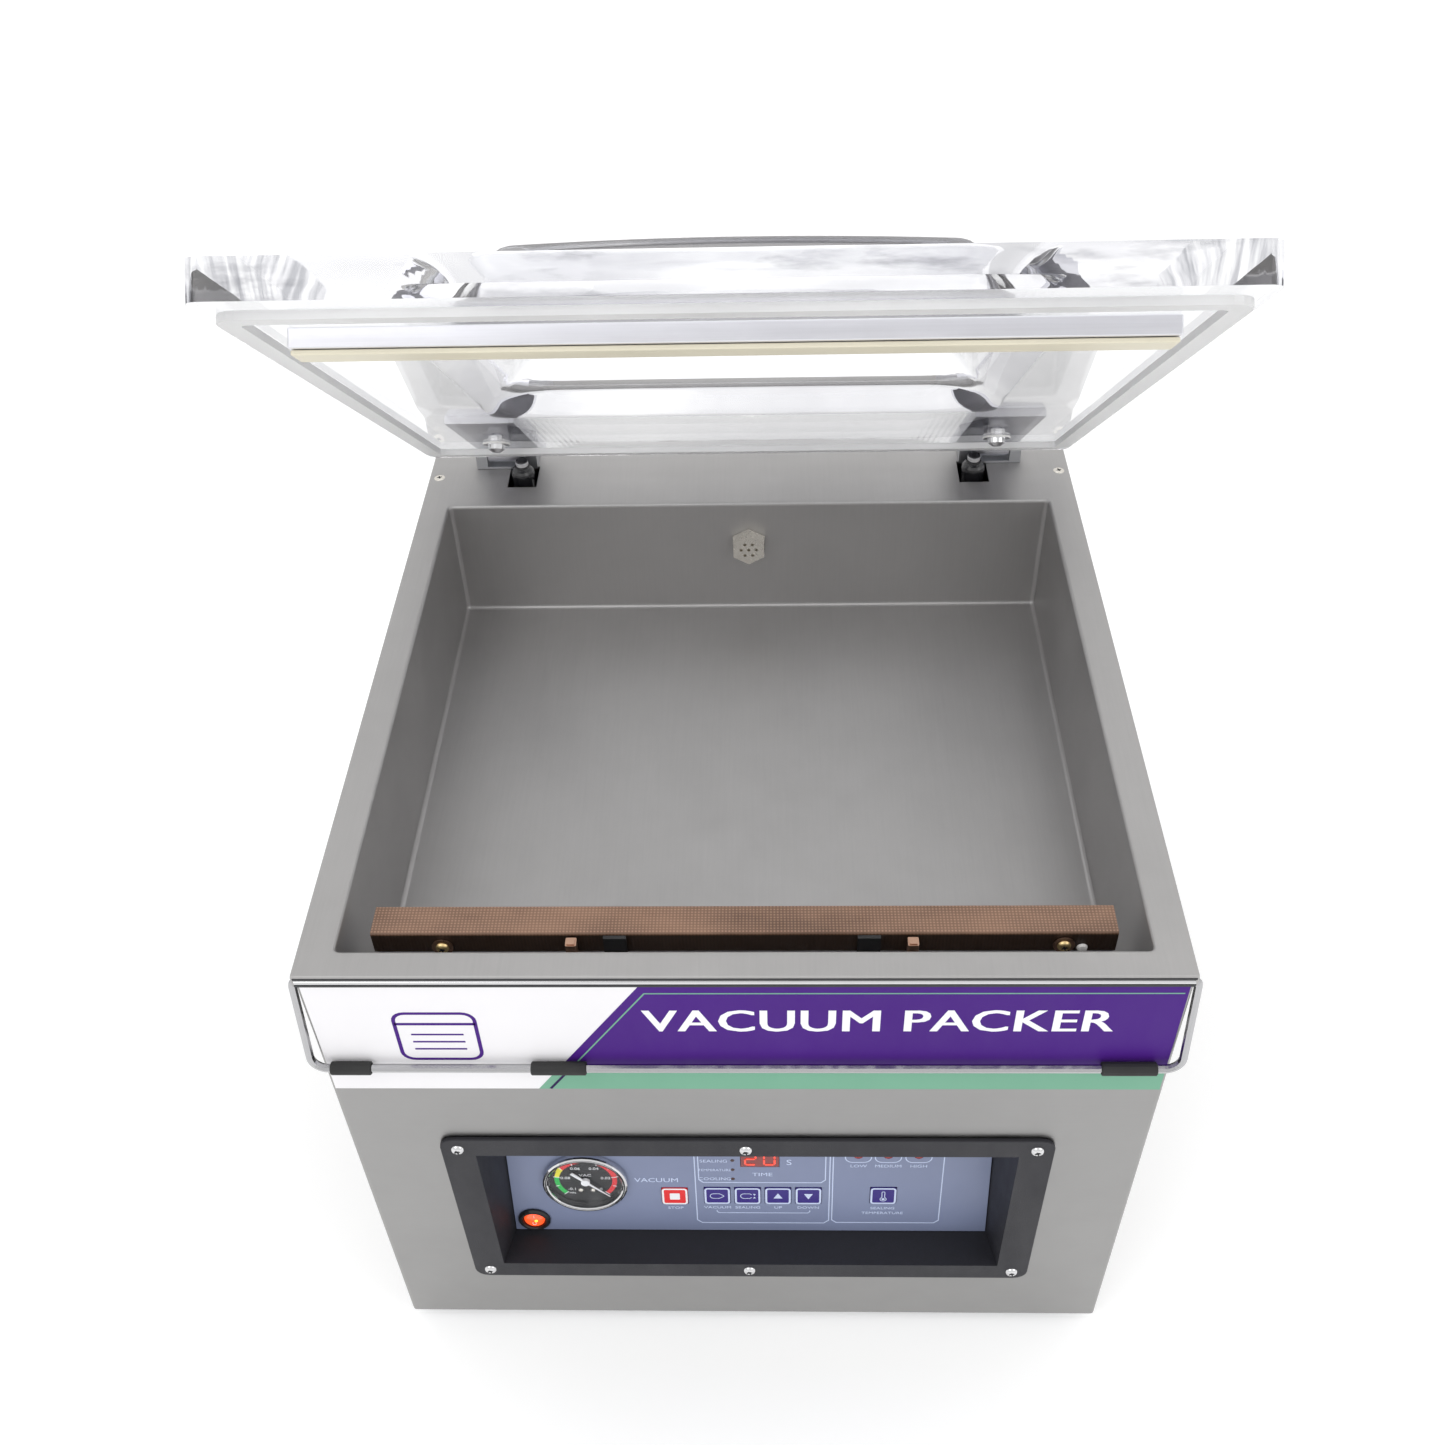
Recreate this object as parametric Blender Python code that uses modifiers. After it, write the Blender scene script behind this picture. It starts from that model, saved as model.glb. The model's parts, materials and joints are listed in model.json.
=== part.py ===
"""Table-top vacuum chamber sealer, in metres, +Z up, front towards -Y.

Inside the machine's own frame Y is 0 on the front sheet and Z is 0 on top of the deck. One empty moves
that frame so that the finished object stands on Z = 0 and is centred on the origin.
"""

import math

import bmesh
import bpy
from mathutils import Matrix, Vector

# ---------------------------------------------------------------- driving dimensions
GAP = 0.0003

BODY_HALF = 0.245
BODY_DEPTH = 0.540
BODY_BOTTOM = -0.396
SHEET = 0.002
CORNER = 0.0025

DECK_HALF = 0.2455
DECK_FRONT = -0.0016
DECK_THICK = 0.002
BEAD_HEIGHT = 0.009

TUB_HALF = 0.2248
TUB_FRONT = 0.0165
TUB_BACK = 0.4372
TUB_DEPTH = 0.0978
TUB_CORNER = 0.003
LIP_RADIUS = 0.0022

FOOT_HEIGHT = 0.014
FOOT_X = 0.205
FOOT_FRONT = 0.055
FOOT_BACK = 0.488
BASE_THICK = 0.003

FRONT_REACH = -0.009474
BACK_REACH = 0.5445

LABEL_HALF = 0.2425
LABEL_TOP = -0.0094
LABEL_BOTTOM = -0.1086
LABEL_THICK = 0.0006

BEZEL_HALF = 0.1898
BEZEL_TOP = -0.1626
BEZEL_BOTTOM = -0.3377
BEZEL_CORNER = 0.009
BEZEL_THICK = 0.003
WELL_HALF = 0.168
WELL_TOP = -0.1805
WELL_FLOOR = -0.320
WELL_DRAFT = 0.2
WELL_DEPTH = 0.046
WELL_WALL = 0.0025

PANEL_FOOT = 0.022
PANEL_TILT = math.radians(6.3)
PANEL_THICK = 0.0025
PANEL_RUN = 0.1397

GAUGE_X = -0.110
GAUGE_S = 0.056
GAUGE_RING = 0.029
GAUGE_BODY = 0.0265
GAUGE_DIAL = 0.0252
NEEDLE_REST = math.radians(-45.0)

SWITCH_X = -0.1489
SWITCH_S = 0.0132
SWITCH_RADIUS = 0.0112
ROCKER_RADIUS = 0.0072

DISPLAY_X = 0.0079
DISPLAY_S = 0.0805
DISPLAY_W = 0.0256
DISPLAY_H = 0.018

KEY_SIDE = 0.0176
KEY_THICK = 0.0019
KEY_PROUD = 0.0007
KEY_S = 0.0404
STOP_S = 0.0397

HINGE_Y = 0.496
HINGE_Z = 0.0127
OPEN_ANGLE = math.radians(41.3)
PIN_RADIUS = 0.004
STRAP_X = 0.1795
STRAP_HALF = 0.0235
EYE_IN = 0.1723
EYE_OUT = 0.2003
EYE_RADIUS = 0.0098

LID_HALF = 0.243
LID_FRONT = -0.011
LID_BACK = 0.485
LID_BOTTOM = 0.005
LID_THICK = 0.020
LID_CORNER = 0.008
DOME_HALF = 0.163
DOME_FRONT = 0.070
DOME_BACK = 0.308
DOME_HEIGHT = 0.042
DOME_RAMP = 0.046

BOLT_Y = 0.413
BOLT_RADIUS = 0.004
BOLT_HOLE = 0.0043

GASKET_HALF = 0.236
GASKET_FRONT = 0.0045
GASKET_BACK = 0.4495
GASKET_WIDTH = 0.0105
GASKET_CORNER = 0.012

COUNTER_HALF = 0.211
COUNTER_FRONT = 0.0385
COUNTER_BACK = 0.0585
COUNTER_DROP = 0.0105
PAD_DROP = 0.0026

BAR_HALF = 0.212
BAR_FRONT = 0.0392
BAR_BACK = 0.0598
BAR_TOP = -0.0135
BAR_BOTTOM = -0.060
TAPE_THICK = 0.0006
TAPE_SKIRT = 0.016
TAPE_HALF = 0.2117

SPRING_X = 0.1725
SPRING_Y = 0.476
HOLE_HALF_X = 0.01125
HOLE_HALF_Y = 0.014
ROD_RADIUS = 0.004
CYLINDER_RADIUS = 0.0088
SHOULDER_Z = 0.0058
FITTING_TOP = 0.0151
ANCHOR_Z = -0.262

BAIL_Y = 0.006
BAIL_Z = -0.013
BAIL_TILT = math.radians(9.6)
BAIL_HALF = 0.2492
BAIL_DROP = 0.0688
BAIL_WIRE = 0.0025
BAIL_BEND = 0.0095
SLEEVE_RADIUS = 0.004

SIDES = {"left": -1.0, "right": 1.0}

MATERIALS = {
    "stainless_sheet": ((0.62, 0.62, 0.61), 0.34, 1.0),
    "stainless_chamber": ((0.55, 0.54, 0.53), 0.40, 1.0),
    "zinc_sheet": ((0.55, 0.56, 0.57), 0.45, 1.0),
    "black_rubber": ((0.02, 0.02, 0.02), 0.85, 0.0),
    "printed_label": ((0.28, 0.11, 0.50), 0.35, 0.0),
    "bezel_plastic": ((0.055, 0.055, 0.06), 0.55, 0.0),
    "membrane_film": ((0.19, 0.22, 0.35), 0.42, 0.0),
    "navy_key": ((0.03, 0.01, 0.20), 0.40, 0.0),
    "red_key": ((0.75, 0.02, 0.03), 0.40, 0.0),
    "display_red": ((0.12, 0.01, 0.01), 0.15, 0.0),
    "chrome": ((0.85, 0.85, 0.86), 0.10, 1.0),
    "clear_lens": ((0.95, 0.96, 0.97), 0.03, 0.0),
    "needle_white": ((0.92, 0.92, 0.90), 0.45, 0.0),
    "switch_black": ((0.015, 0.015, 0.015), 0.45, 0.0),
    "switch_red": ((0.95, 0.10, 0.03), 0.20, 0.0),
    "clear_acrylic": ((0.93, 0.95, 0.96), 0.04, 0.0),
    "silicone_white": ((0.88, 0.88, 0.86), 0.55, 0.0),
    "silicone_cream": ((0.80, 0.76, 0.64), 0.60, 0.0),
    "aluminium": ((0.80, 0.80, 0.83), 0.35, 1.0),
    "ptfe_tape": ((0.28, 0.17, 0.12), 0.60, 0.0),
    "clip_black": ((0.02, 0.02, 0.02), 0.50, 0.0),
    "copper": ((0.72, 0.36, 0.20), 0.30, 1.0),
    "steel_black": ((0.02, 0.02, 0.022), 0.38, 0.6),
    "wire_steel": ((0.70, 0.70, 0.71), 0.22, 1.0),
    "brass_fitting": ((0.75, 0.72, 0.66), 0.25, 1.0),
    "hose_black": ((0.03, 0.03, 0.03), 0.70, 0.0),
    "pump_paint": ((0.16, 0.20, 0.24), 0.50, 0.2),
    "motor_paint": ((0.12, 0.14, 0.16), 0.50, 0.2),
    "transformer_iron": ((0.22, 0.20, 0.18), 0.55, 0.6),
    "board_green": ((0.02, 0.16, 0.07), 0.45, 0.0),
}

OBJECT_COLLECTION = "vacuum_chamber_sealer"
CUTTER_COLLECTION = "sealer_cutters"


# ---------------------------------------------------------------- scene helpers
def clear_scene():
    for obj in list(bpy.data.objects):
        bpy.data.objects.remove(obj, do_unlink=True)


def make_collection(name):
    collection = bpy.data.collections.new(name)
    bpy.context.scene.collection.children.link(collection)
    return collection


def make_material(name):
    colour, roughness, metallic = MATERIALS[name]
    material = bpy.data.materials.new(name)
    material.use_nodes = True
    shader = material.node_tree.nodes["Principled BSDF"]
    shader.inputs["Base Color"].default_value = (*colour, 1.0)
    shader.inputs["Roughness"].default_value = roughness
    shader.inputs["Metallic"].default_value = metallic
    return material


def get_material(name):
    return bpy.data.materials.get(name) or make_material(name)


def place_empty(name, parent=None, location=(0.0, 0.0, 0.0), rotation=(0.0, 0.0, 0.0)):
    empty = bpy.data.objects.new(name, None)
    bpy.data.collections[OBJECT_COLLECTION].objects.link(empty)
    empty.parent = parent
    empty.location = location
    empty.rotation_euler = rotation
    return empty


def place_mesh(name, mesh, material, parent, location=(0.0, 0.0, 0.0), rotation=(0.0, 0.0, 0.0)):
    obj = bpy.data.objects.new(name, mesh)
    bpy.data.collections[OBJECT_COLLECTION].objects.link(obj)
    obj.parent = parent
    obj.location = location
    obj.rotation_euler = rotation
    if material:
        mesh.materials.append(get_material(material))
    return obj


def as_cutter(obj):
    bpy.data.collections[OBJECT_COLLECTION].objects.unlink(obj)
    bpy.data.collections[CUTTER_COLLECTION].objects.link(obj)
    obj.hide_render = True
    obj.display_type = "WIRE"
    return obj


def boolean(target, tool, operation):
    as_cutter(tool)
    modifier = target.modifiers.new(operation.lower(), "BOOLEAN")
    modifier.operation = operation
    modifier.solver = "EXACT"
    modifier.object = tool
    return modifier


def subtract(target, tool):
    return boolean(target, tool, "DIFFERENCE")


def unite(target, tool):
    return boolean(target, tool, "UNION")


def bevel(obj, width, segments=2, angle=40.0):
    modifier = obj.modifiers.new("rounded_edges", "BEVEL")
    modifier.width = width
    modifier.segments = segments
    modifier.limit_method = "ANGLE"
    modifier.angle_limit = math.radians(angle)
    return modifier


def smooth(obj, angle=35.0):
    obj.data.shade_smooth()
    obj.data.set_sharp_from_angle(angle=math.radians(angle))


def freeze(obj):
    """Turn the evaluated shape into the object's own mesh, so that chosen edges can be rounded."""
    graph = bpy.context.evaluated_depsgraph_get()
    graph.update()
    mesh = bpy.data.meshes.new_from_object(obj.evaluated_get(graph), depsgraph=graph)
    obj.modifiers.clear()
    obj.data = mesh


def round_edges(obj, wanted, width, segments):
    """Round the edges whose two ends both pass the test."""
    work = bmesh.new()
    work.from_mesh(obj.data)
    chosen = [edge for edge in work.edges if wanted(edge.verts[0].co, edge.verts[1].co)]
    bmesh.ops.bevel(
        work,
        geom=chosen,
        offset=width,
        segments=segments,
        affect="EDGES",
        profile=0.5,
        clamp_overlap=True,
    )
    work.to_mesh(obj.data)
    work.free()


# ---------------------------------------------------------------- shape helpers
def cube_mesh(name, low, high):
    work = bmesh.new()
    bmesh.ops.create_cube(work, size=1.0)
    size = Vector(high) - Vector(low)
    middle = (Vector(high) + Vector(low)) / 2
    bmesh.ops.scale(work, vec=size, verts=work.verts)
    bmesh.ops.translate(work, vec=middle, verts=work.verts)
    mesh = bpy.data.meshes.new(name)
    work.to_mesh(mesh)
    work.free()
    return mesh


def box(name, low, high, material, parent, rounding=0.0, segments=2):
    obj = place_mesh(name, cube_mesh(name, low, high), material, parent)
    if rounding:
        bevel(obj, rounding, segments)
    return obj


def cylinder(name, centre, axis, radius, length, material, parent, sides=32, end_radius=None):
    work = bmesh.new()
    bmesh.ops.create_cone(
        work,
        cap_ends=True,
        segments=sides,
        radius1=radius,
        radius2=radius if end_radius is None else end_radius,
        depth=length,
    )
    turn = Vector((0, 0, 1)).rotation_difference(Vector(axis)).to_matrix().to_4x4()
    bmesh.ops.transform(work, matrix=Matrix.Translation(centre) @ turn, verts=work.verts)
    mesh = bpy.data.meshes.new(name)
    work.to_mesh(mesh)
    work.free()
    obj = place_mesh(name, mesh, material, parent)
    smooth(obj)
    return obj


def turned(name, profile, material, parent, location, rotation=(0.0, 0.0, 0.0), steps=32):
    """A turned solid about local Z; the profile is (radius, height) from the top axis point down."""
    mesh = bpy.data.meshes.new(name)
    work = bmesh.new()
    points = [work.verts.new((radius, 0.0, height)) for radius, height in profile]
    for first, second in zip(points, points[1:]):
        work.edges.new((first, second))
    work.to_mesh(mesh)
    work.free()
    obj = place_mesh(name, mesh, material, parent, location, rotation)
    screw = obj.modifiers.new("turn", "SCREW")
    screw.axis = "Z"
    screw.angle = 2 * math.pi
    screw.steps = steps
    screw.render_steps = steps
    screw.use_merge_vertices = True
    screw.merge_threshold = 0.00001
    screw.use_smooth_shade = True
    return obj


def curve_to_mesh(curve_object):
    graph = bpy.context.evaluated_depsgraph_get()
    graph.update()
    mesh = bpy.data.meshes.new_from_object(curve_object.evaluated_get(graph), depsgraph=graph)
    work = bmesh.new()
    work.from_mesh(mesh)
    bmesh.ops.remove_doubles(work, verts=work.verts, dist=0.00001)
    bmesh.ops.recalc_face_normals(work, faces=work.faces)
    work.to_mesh(mesh)
    work.free()
    mesh.materials.clear()
    matrix = curve_object.matrix_world.copy()
    bpy.data.objects.remove(curve_object, do_unlink=True)
    return mesh, matrix


def add_spline(curve, points, cyclic):
    spline = curve.splines.new("POLY")
    spline.points.add(len(points) - 1)
    for target, point in zip(spline.points, points):
        target.co = (*point, 1.0)
    spline.use_cyclic_u = cyclic


def plate(name, outlines, low, high, material, parent):
    """A flat plate in local XY between two heights; the first outline is the rim, the others are holes."""
    curve = bpy.data.curves.new(name, "CURVE")
    curve.dimensions = "2D"
    curve.fill_mode = "BOTH"
    curve.extrude = (high - low) / 2
    for outline in outlines:
        add_spline(curve, [(x, y, 0.0) for x, y in outline], True)
    guide = bpy.data.objects.new(name + "_outline", curve)
    bpy.context.scene.collection.objects.link(guide)
    guide.location = (0.0, 0.0, (high + low) / 2)
    bpy.context.view_layer.update()
    mesh, matrix = curve_to_mesh(guide)
    mesh.transform(matrix)
    return place_mesh(name, mesh, material, parent)


def stand_up(obj):
    """Turn a plate drawn in XY so that its outline lies in XZ and its thickness runs along -Y."""
    obj.data.transform(Matrix.Rotation(math.radians(90.0), 4, "X"))
    return obj


def tube(name, points, radius, material, parent, resolution=2):
    curve = bpy.data.curves.new(name, "CURVE")
    curve.dimensions = "3D"
    curve.bevel_depth = radius
    curve.bevel_resolution = resolution
    curve.use_fill_caps = True
    add_spline(curve, points, False)
    guide = bpy.data.objects.new(name + "_path", curve)
    bpy.context.scene.collection.objects.link(guide)
    bpy.context.view_layer.update()
    mesh, matrix = curve_to_mesh(guide)
    mesh.transform(matrix)
    obj = place_mesh(name, mesh, material, parent)
    smooth(obj, 50.0)
    return obj


def arc(centre, radius, start, end, count):
    return [
        (
            centre[0] + radius * math.cos(start + (end - start) * step / count),
            centre[1] + radius * math.sin(start + (end - start) * step / count),
        )
        for step in range(count + 1)
    ]


def rounded_rectangle(low, high, radius, count=5):
    quarter = math.pi / 2
    corners = [
        ((high[0] - radius, high[1] - radius), 0.0),
        ((low[0] + radius, high[1] - radius), quarter),
        ((low[0] + radius, low[1] + radius), 2 * quarter),
        ((high[0] - radius, low[1] + radius), 3 * quarter),
    ]
    points = []
    for centre, start in corners:
        points += arc(centre, radius, start, start + quarter, count)
    return points


def rectangle(low, high):
    return [(high[0], high[1]), (low[0], high[1]), (low[0], low[1]), (high[0], low[1])]


def mirrored(side, low, high):
    """A box's corners on the given side of the machine, from the corners on the +X side."""
    if side > 0:
        return low, high
    return (-high[0], low[1], low[2]), (-low[0], high[1], high[2])


# ---------------------------------------------------------------- cabinet
def build_cabinet_shell(frame):
    """Front and two side sheets, one U-shaped wrapper, open above, below and behind."""
    shell = box(
        "cabinet_shell",
        (-BODY_HALF, 0.0, BODY_BOTTOM),
        (BODY_HALF, BODY_DEPTH, -DECK_THICK - GAP),
        "stainless_sheet",
        frame,
    )
    round_edges(
        shell,
        lambda a, b: abs(a.y) < 1e-5 and abs(b.y) < 1e-5 and abs(a.x - b.x) < 1e-5,
        CORNER,
        3,
    )
    inside = box(
        "cut_cabinet_inside",
        (SHEET - BODY_HALF, SHEET, BODY_BOTTOM - 0.01),
        (BODY_HALF - SHEET, BODY_DEPTH + 0.01, 0.01),
        None,
        frame,
    )
    subtract(shell, inside)
    window = box(
        "cut_control_window",
        (-WELL_HALF - 0.006, -0.01, WELL_FLOOR - 0.006),
        (WELL_HALF + 0.006, 0.01, WELL_TOP + 0.006),
        None,
        frame,
    )
    subtract(shell, window)
    pivot = cylinder(
        "cut_bail_pivots",
        (0.0, BAIL_Y, BAIL_Z),
        (1, 0, 0),
        BAIL_WIRE + 2 * GAP,
        2 * BODY_HALF + 0.02,
        None,
        frame,
        20,
    )
    subtract(shell, pivot)
    return shell


def build_chamber_tub(frame):
    """Deck with its folded front bead, and the chamber welded under it."""
    tub = box(
        "chamber_tub",
        (-DECK_HALF, DECK_FRONT, -DECK_THICK),
        (DECK_HALF, BODY_DEPTH, 0.0),
        "stainless_chamber",
        frame,
    )
    bead = box(
        "join_deck_bead",
        (-DECK_HALF, DECK_FRONT, -BEAD_HEIGHT),
        (DECK_HALF, -GAP, -0.001),
        None,
        frame,
    )
    unite(tub, bead)
    walls = box(
        "join_chamber_walls",
        (-TUB_HALF - SHEET, TUB_FRONT - SHEET, -TUB_DEPTH - SHEET),
        (TUB_HALF + SHEET, TUB_BACK + SHEET, -0.001),
        None,
        frame,
    )
    round_edges(walls, lambda a, b: min(a.z, b.z) < -0.01, TUB_CORNER + SHEET, 3)
    unite(tub, walls)
    hollow = box(
        "cut_chamber_hollow",
        (-TUB_HALF, TUB_FRONT, -TUB_DEPTH),
        (TUB_HALF, TUB_BACK, 0.02),
        None,
        frame,
        TUB_CORNER,
        3,
    )
    subtract(tub, hollow)
    for name, side in SIDES.items():
        spring_hole = box(
            "cut_spring_hole_" + name,
            (side * SPRING_X - HOLE_HALF_X, SPRING_Y - HOLE_HALF_Y, -0.01),
            (side * SPRING_X + HOLE_HALF_X, SPRING_Y + HOLE_HALF_Y, 0.01),
            None,
            frame,
        )
        subtract(tub, spring_hole)
    port_hole = cylinder(
        "cut_port_hole", (0.001, TUB_BACK, -0.037), (0, 1, 0), 0.0063, 0.02, None, frame, 24
    )
    subtract(tub, port_hole)
    for name, side in SIDES.items():
        lifter_hole = cylinder(
            "cut_lifter_hole_" + name,
            (side * 0.150, 0.0495, -TUB_DEPTH),
            (0, 0, 1),
            0.0063,
            0.02,
            None,
            frame,
            24,
        )
        subtract(tub, lifter_hole)
    freeze(tub)

    def on_lip(a, b):
        flat = abs(a.z) < 1e-5 and abs(b.z) < 1e-5
        across = abs(abs(a.x) - TUB_HALF) < 1e-4 and abs(abs(b.x) - TUB_HALF) < 1e-4
        front = abs(a.y - TUB_FRONT) < 1e-4 and abs(b.y - TUB_FRONT) < 1e-4
        back = abs(a.y - TUB_BACK) < 1e-4 and abs(b.y - TUB_BACK) < 1e-4
        inside = max(abs(a.x), abs(b.x)) < TUB_HALF + 1e-4 and min(a.y, b.y) > TUB_FRONT - 1e-4
        corner = inside and max(a.y, b.y) < TUB_BACK + 1e-4 and (a - b).length < 0.004
        return flat and (across or front or back or corner)

    round_edges(tub, on_lip, LIP_RADIUS, 3)

    def on_bead(a, b):
        fore = abs(a.y - DECK_FRONT) < 1e-5 and abs(b.y - DECK_FRONT) < 1e-5
        above = abs(a.z) < 1e-5 and abs(b.z) < 1e-5
        below = abs(a.z + BEAD_HEIGHT) < 1e-5 and abs(b.z + BEAD_HEIGHT) < 1e-5
        return fore and (above or below)

    round_edges(tub, on_bead, 0.0011, 2)
    smooth(tub, 30.0)
    return tub


def build_base_and_rear(frame):
    inner = BODY_HALF - SHEET - GAP
    box(
        "base_plate",
        (-inner, SHEET + GAP, BODY_BOTTOM),
        (inner, BODY_DEPTH - SHEET - 2 * GAP, BODY_BOTTOM + BASE_THICK),
        "zinc_sheet",
        frame,
    )
    rear = box(
        "rear_panel",
        (-inner, BODY_DEPTH - SHEET, BODY_BOTTOM),
        (inner, BODY_DEPTH, -DECK_THICK - GAP),
        "stainless_sheet",
        frame,
    )
    for column in range(9):
        middle = (column - 4) * 0.022
        slot = box(
            "cut_vent_%d" % (column + 1),
            (middle - 0.0035, BODY_DEPTH - 0.02, -0.165),
            (middle + 0.0035, BODY_DEPTH + 0.02, -0.095),
            None,
            frame,
        )
        subtract(rear, slot)
    inlet_hole = box(
        "cut_inlet_hole",
        (-0.1745 - 0.0137, BODY_DEPTH - 0.02, -0.3435),
        (-0.1745 + 0.0137, BODY_DEPTH + 0.02, -0.3235),
        None,
        frame,
    )
    subtract(rear, inlet_hole)


def build_power_inlet(frame):
    inlet = box(
        "power_inlet",
        (-0.1745 - 0.0134, BODY_DEPTH - 0.022, -0.3432),
        (-0.1745 + 0.0134, BODY_DEPTH + 0.001, -0.3238),
        "switch_black",
        frame,
    )
    flange = box(
        "join_inlet_flange",
        (-0.1745 - 0.024, BODY_DEPTH + GAP, -0.3460),
        (-0.1745 + 0.024, BODY_DEPTH + 0.0045, -0.3210),
        None,
        frame,
        0.0015,
    )
    unite(inlet, flange)
    socket = box(
        "cut_inlet_socket",
        (-0.1745 - 0.0115, BODY_DEPTH - 0.015, -0.3415),
        (-0.1745 + 0.0115, BODY_DEPTH + 0.01, -0.3255),
        None,
        frame,
    )
    subtract(inlet, socket)


def build_feet(frame):
    profile = [(0.0, 0.0), (0.018, 0.0), (0.016, -0.012), (0.0145, -0.0137), (0.0, -0.0137)]
    number = 0
    for x in (-FOOT_X, FOOT_X):
        for y in (FOOT_FRONT, FOOT_BACK):
            number += 1
            turned("foot_%d" % number, profile, "black_rubber", frame, (x, y, BODY_BOTTOM - GAP), steps=24)


def build_front_label(frame):
    label = plate(
        "front_label",
        [rectangle((-LABEL_HALF, LABEL_BOTTOM), (LABEL_HALF, LABEL_TOP))],
        GAP,
        GAP + LABEL_THICK,
        "printed_label",
        frame,
    )
    stand_up(label)


# ---------------------------------------------------------------- control well
def tapered_well(name, margin, front, back, material, parent):
    """A box whose side walls close in towards the back; margin grows it past the well's inner faces."""
    work = bmesh.new()
    bmesh.ops.create_cube(work, size=1.0)
    for vertex in work.verts:
        deep = vertex.co.y > 0
        y = back if deep else front
        half = WELL_HALF + margin - WELL_DRAFT * y
        vertex.co.x = math.copysign(half, vertex.co.x)
        vertex.co.z = WELL_TOP + margin if vertex.co.z > 0 else WELL_FLOOR - margin
        vertex.co.y = y
    mesh = bpy.data.meshes.new(name)
    work.to_mesh(mesh)
    work.free()
    return place_mesh(name, mesh, material, parent)


def build_bezel(frame):
    bezel = plate(
        "control_bezel",
        [
            rounded_rectangle(
                (-BEZEL_HALF, BEZEL_BOTTOM), (BEZEL_HALF, BEZEL_TOP), BEZEL_CORNER, 4
            )
        ],
        GAP,
        BEZEL_THICK,
        "bezel_plastic",
        frame,
    )
    stand_up(bezel)
    bevel(bezel, 0.0008, 2)
    walls = tapered_well("join_well_walls", WELL_WALL, -0.001, WELL_DEPTH, None, frame)
    unite(bezel, walls)
    hollow = tapered_well("cut_well_hollow", 0.0, -0.010, WELL_DEPTH + 0.01, None, frame)
    subtract(bezel, hollow)


def cut_disc(target, name, x, s, radius, parent, sides=32):
    subtract(target, cylinder(name, (x, s, 0.0), (0, 0, 1), radius, 0.02, None, parent, sides))


def key_layout():
    step = 0.02063
    first = -0.0214
    return {
        "stop_key": (-0.0503, STOP_S, "red_key"),
        "vacuum_key": (first, KEY_S, "navy_key"),
        "sealing_key": (first + step, KEY_S, "navy_key"),
        "up_key": (first + 2 * step, KEY_S, "navy_key"),
        "down_key": (first + 3 * step, KEY_S, "navy_key"),
        "temperature_key": (0.0911, KEY_S + 0.0006, "navy_key"),
    }


def build_panel(frame, panel_axis):
    low_half = WELL_HALF - WELL_DRAFT * PANEL_FOOT - GAP
    top_y = PANEL_FOOT + PANEL_RUN * math.sin(PANEL_TILT)
    top_half = WELL_HALF - WELL_DRAFT * (top_y + PANEL_THICK) - GAP
    low_half -= WELL_DRAFT * PANEL_THICK
    start = 2 * GAP
    panel = plate(
        "control_panel",
        [[(top_half, PANEL_RUN), (-top_half, PANEL_RUN), (-low_half, start), (low_half, start)]],
        -PANEL_THICK,
        0.0,
        "membrane_film",
        panel_axis,
    )
    cut_disc(panel, "cut_gauge_hole", GAUGE_X, GAUGE_S, GAUGE_BODY + GAP, panel_axis, 32)
    cut_disc(panel, "cut_switch_hole", SWITCH_X, SWITCH_S, 0.0098, panel_axis)
    openings = {
        name: (x, s, KEY_SIDE / 2 + GAP, KEY_SIDE / 2 + GAP)
        for name, (x, s, _) in key_layout().items()
    }
    openings["display"] = (DISPLAY_X, DISPLAY_S, DISPLAY_W / 2 + GAP, DISPLAY_H / 2 + GAP)
    for name, (x, s, half_x, half_s) in openings.items():
        opening = box(
            "cut_opening_" + name,
            (x - half_x, s - half_s, -0.01),
            (x + half_x, s + half_s, 0.01),
            None,
            panel_axis,
        )
        subtract(panel, opening)


def build_keys(panel_axis):
    for name, (x, s, material) in key_layout().items():
        half = KEY_SIDE / 2
        key = place_mesh(
            name,
            cube_mesh(name, (-half, -half, KEY_PROUD - KEY_THICK), (half, half, KEY_PROUD)),
            material,
            panel_axis,
            (x, s, 0.0),
        )
        round_edges(key, lambda a, b: abs(a.z - b.z) > 1e-4, 0.0018, 3)
        bevel(key, 0.0003, 1, 60.0)


def build_display(panel_axis):
    box(
        "time_display",
        (DISPLAY_X - DISPLAY_W / 2, DISPLAY_S - DISPLAY_H / 2, -0.0052),
        (DISPLAY_X + DISPLAY_W / 2, DISPLAY_S + DISPLAY_H / 2, 0.0002),
        "display_red",
        panel_axis,
        0.0004,
    )


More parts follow.
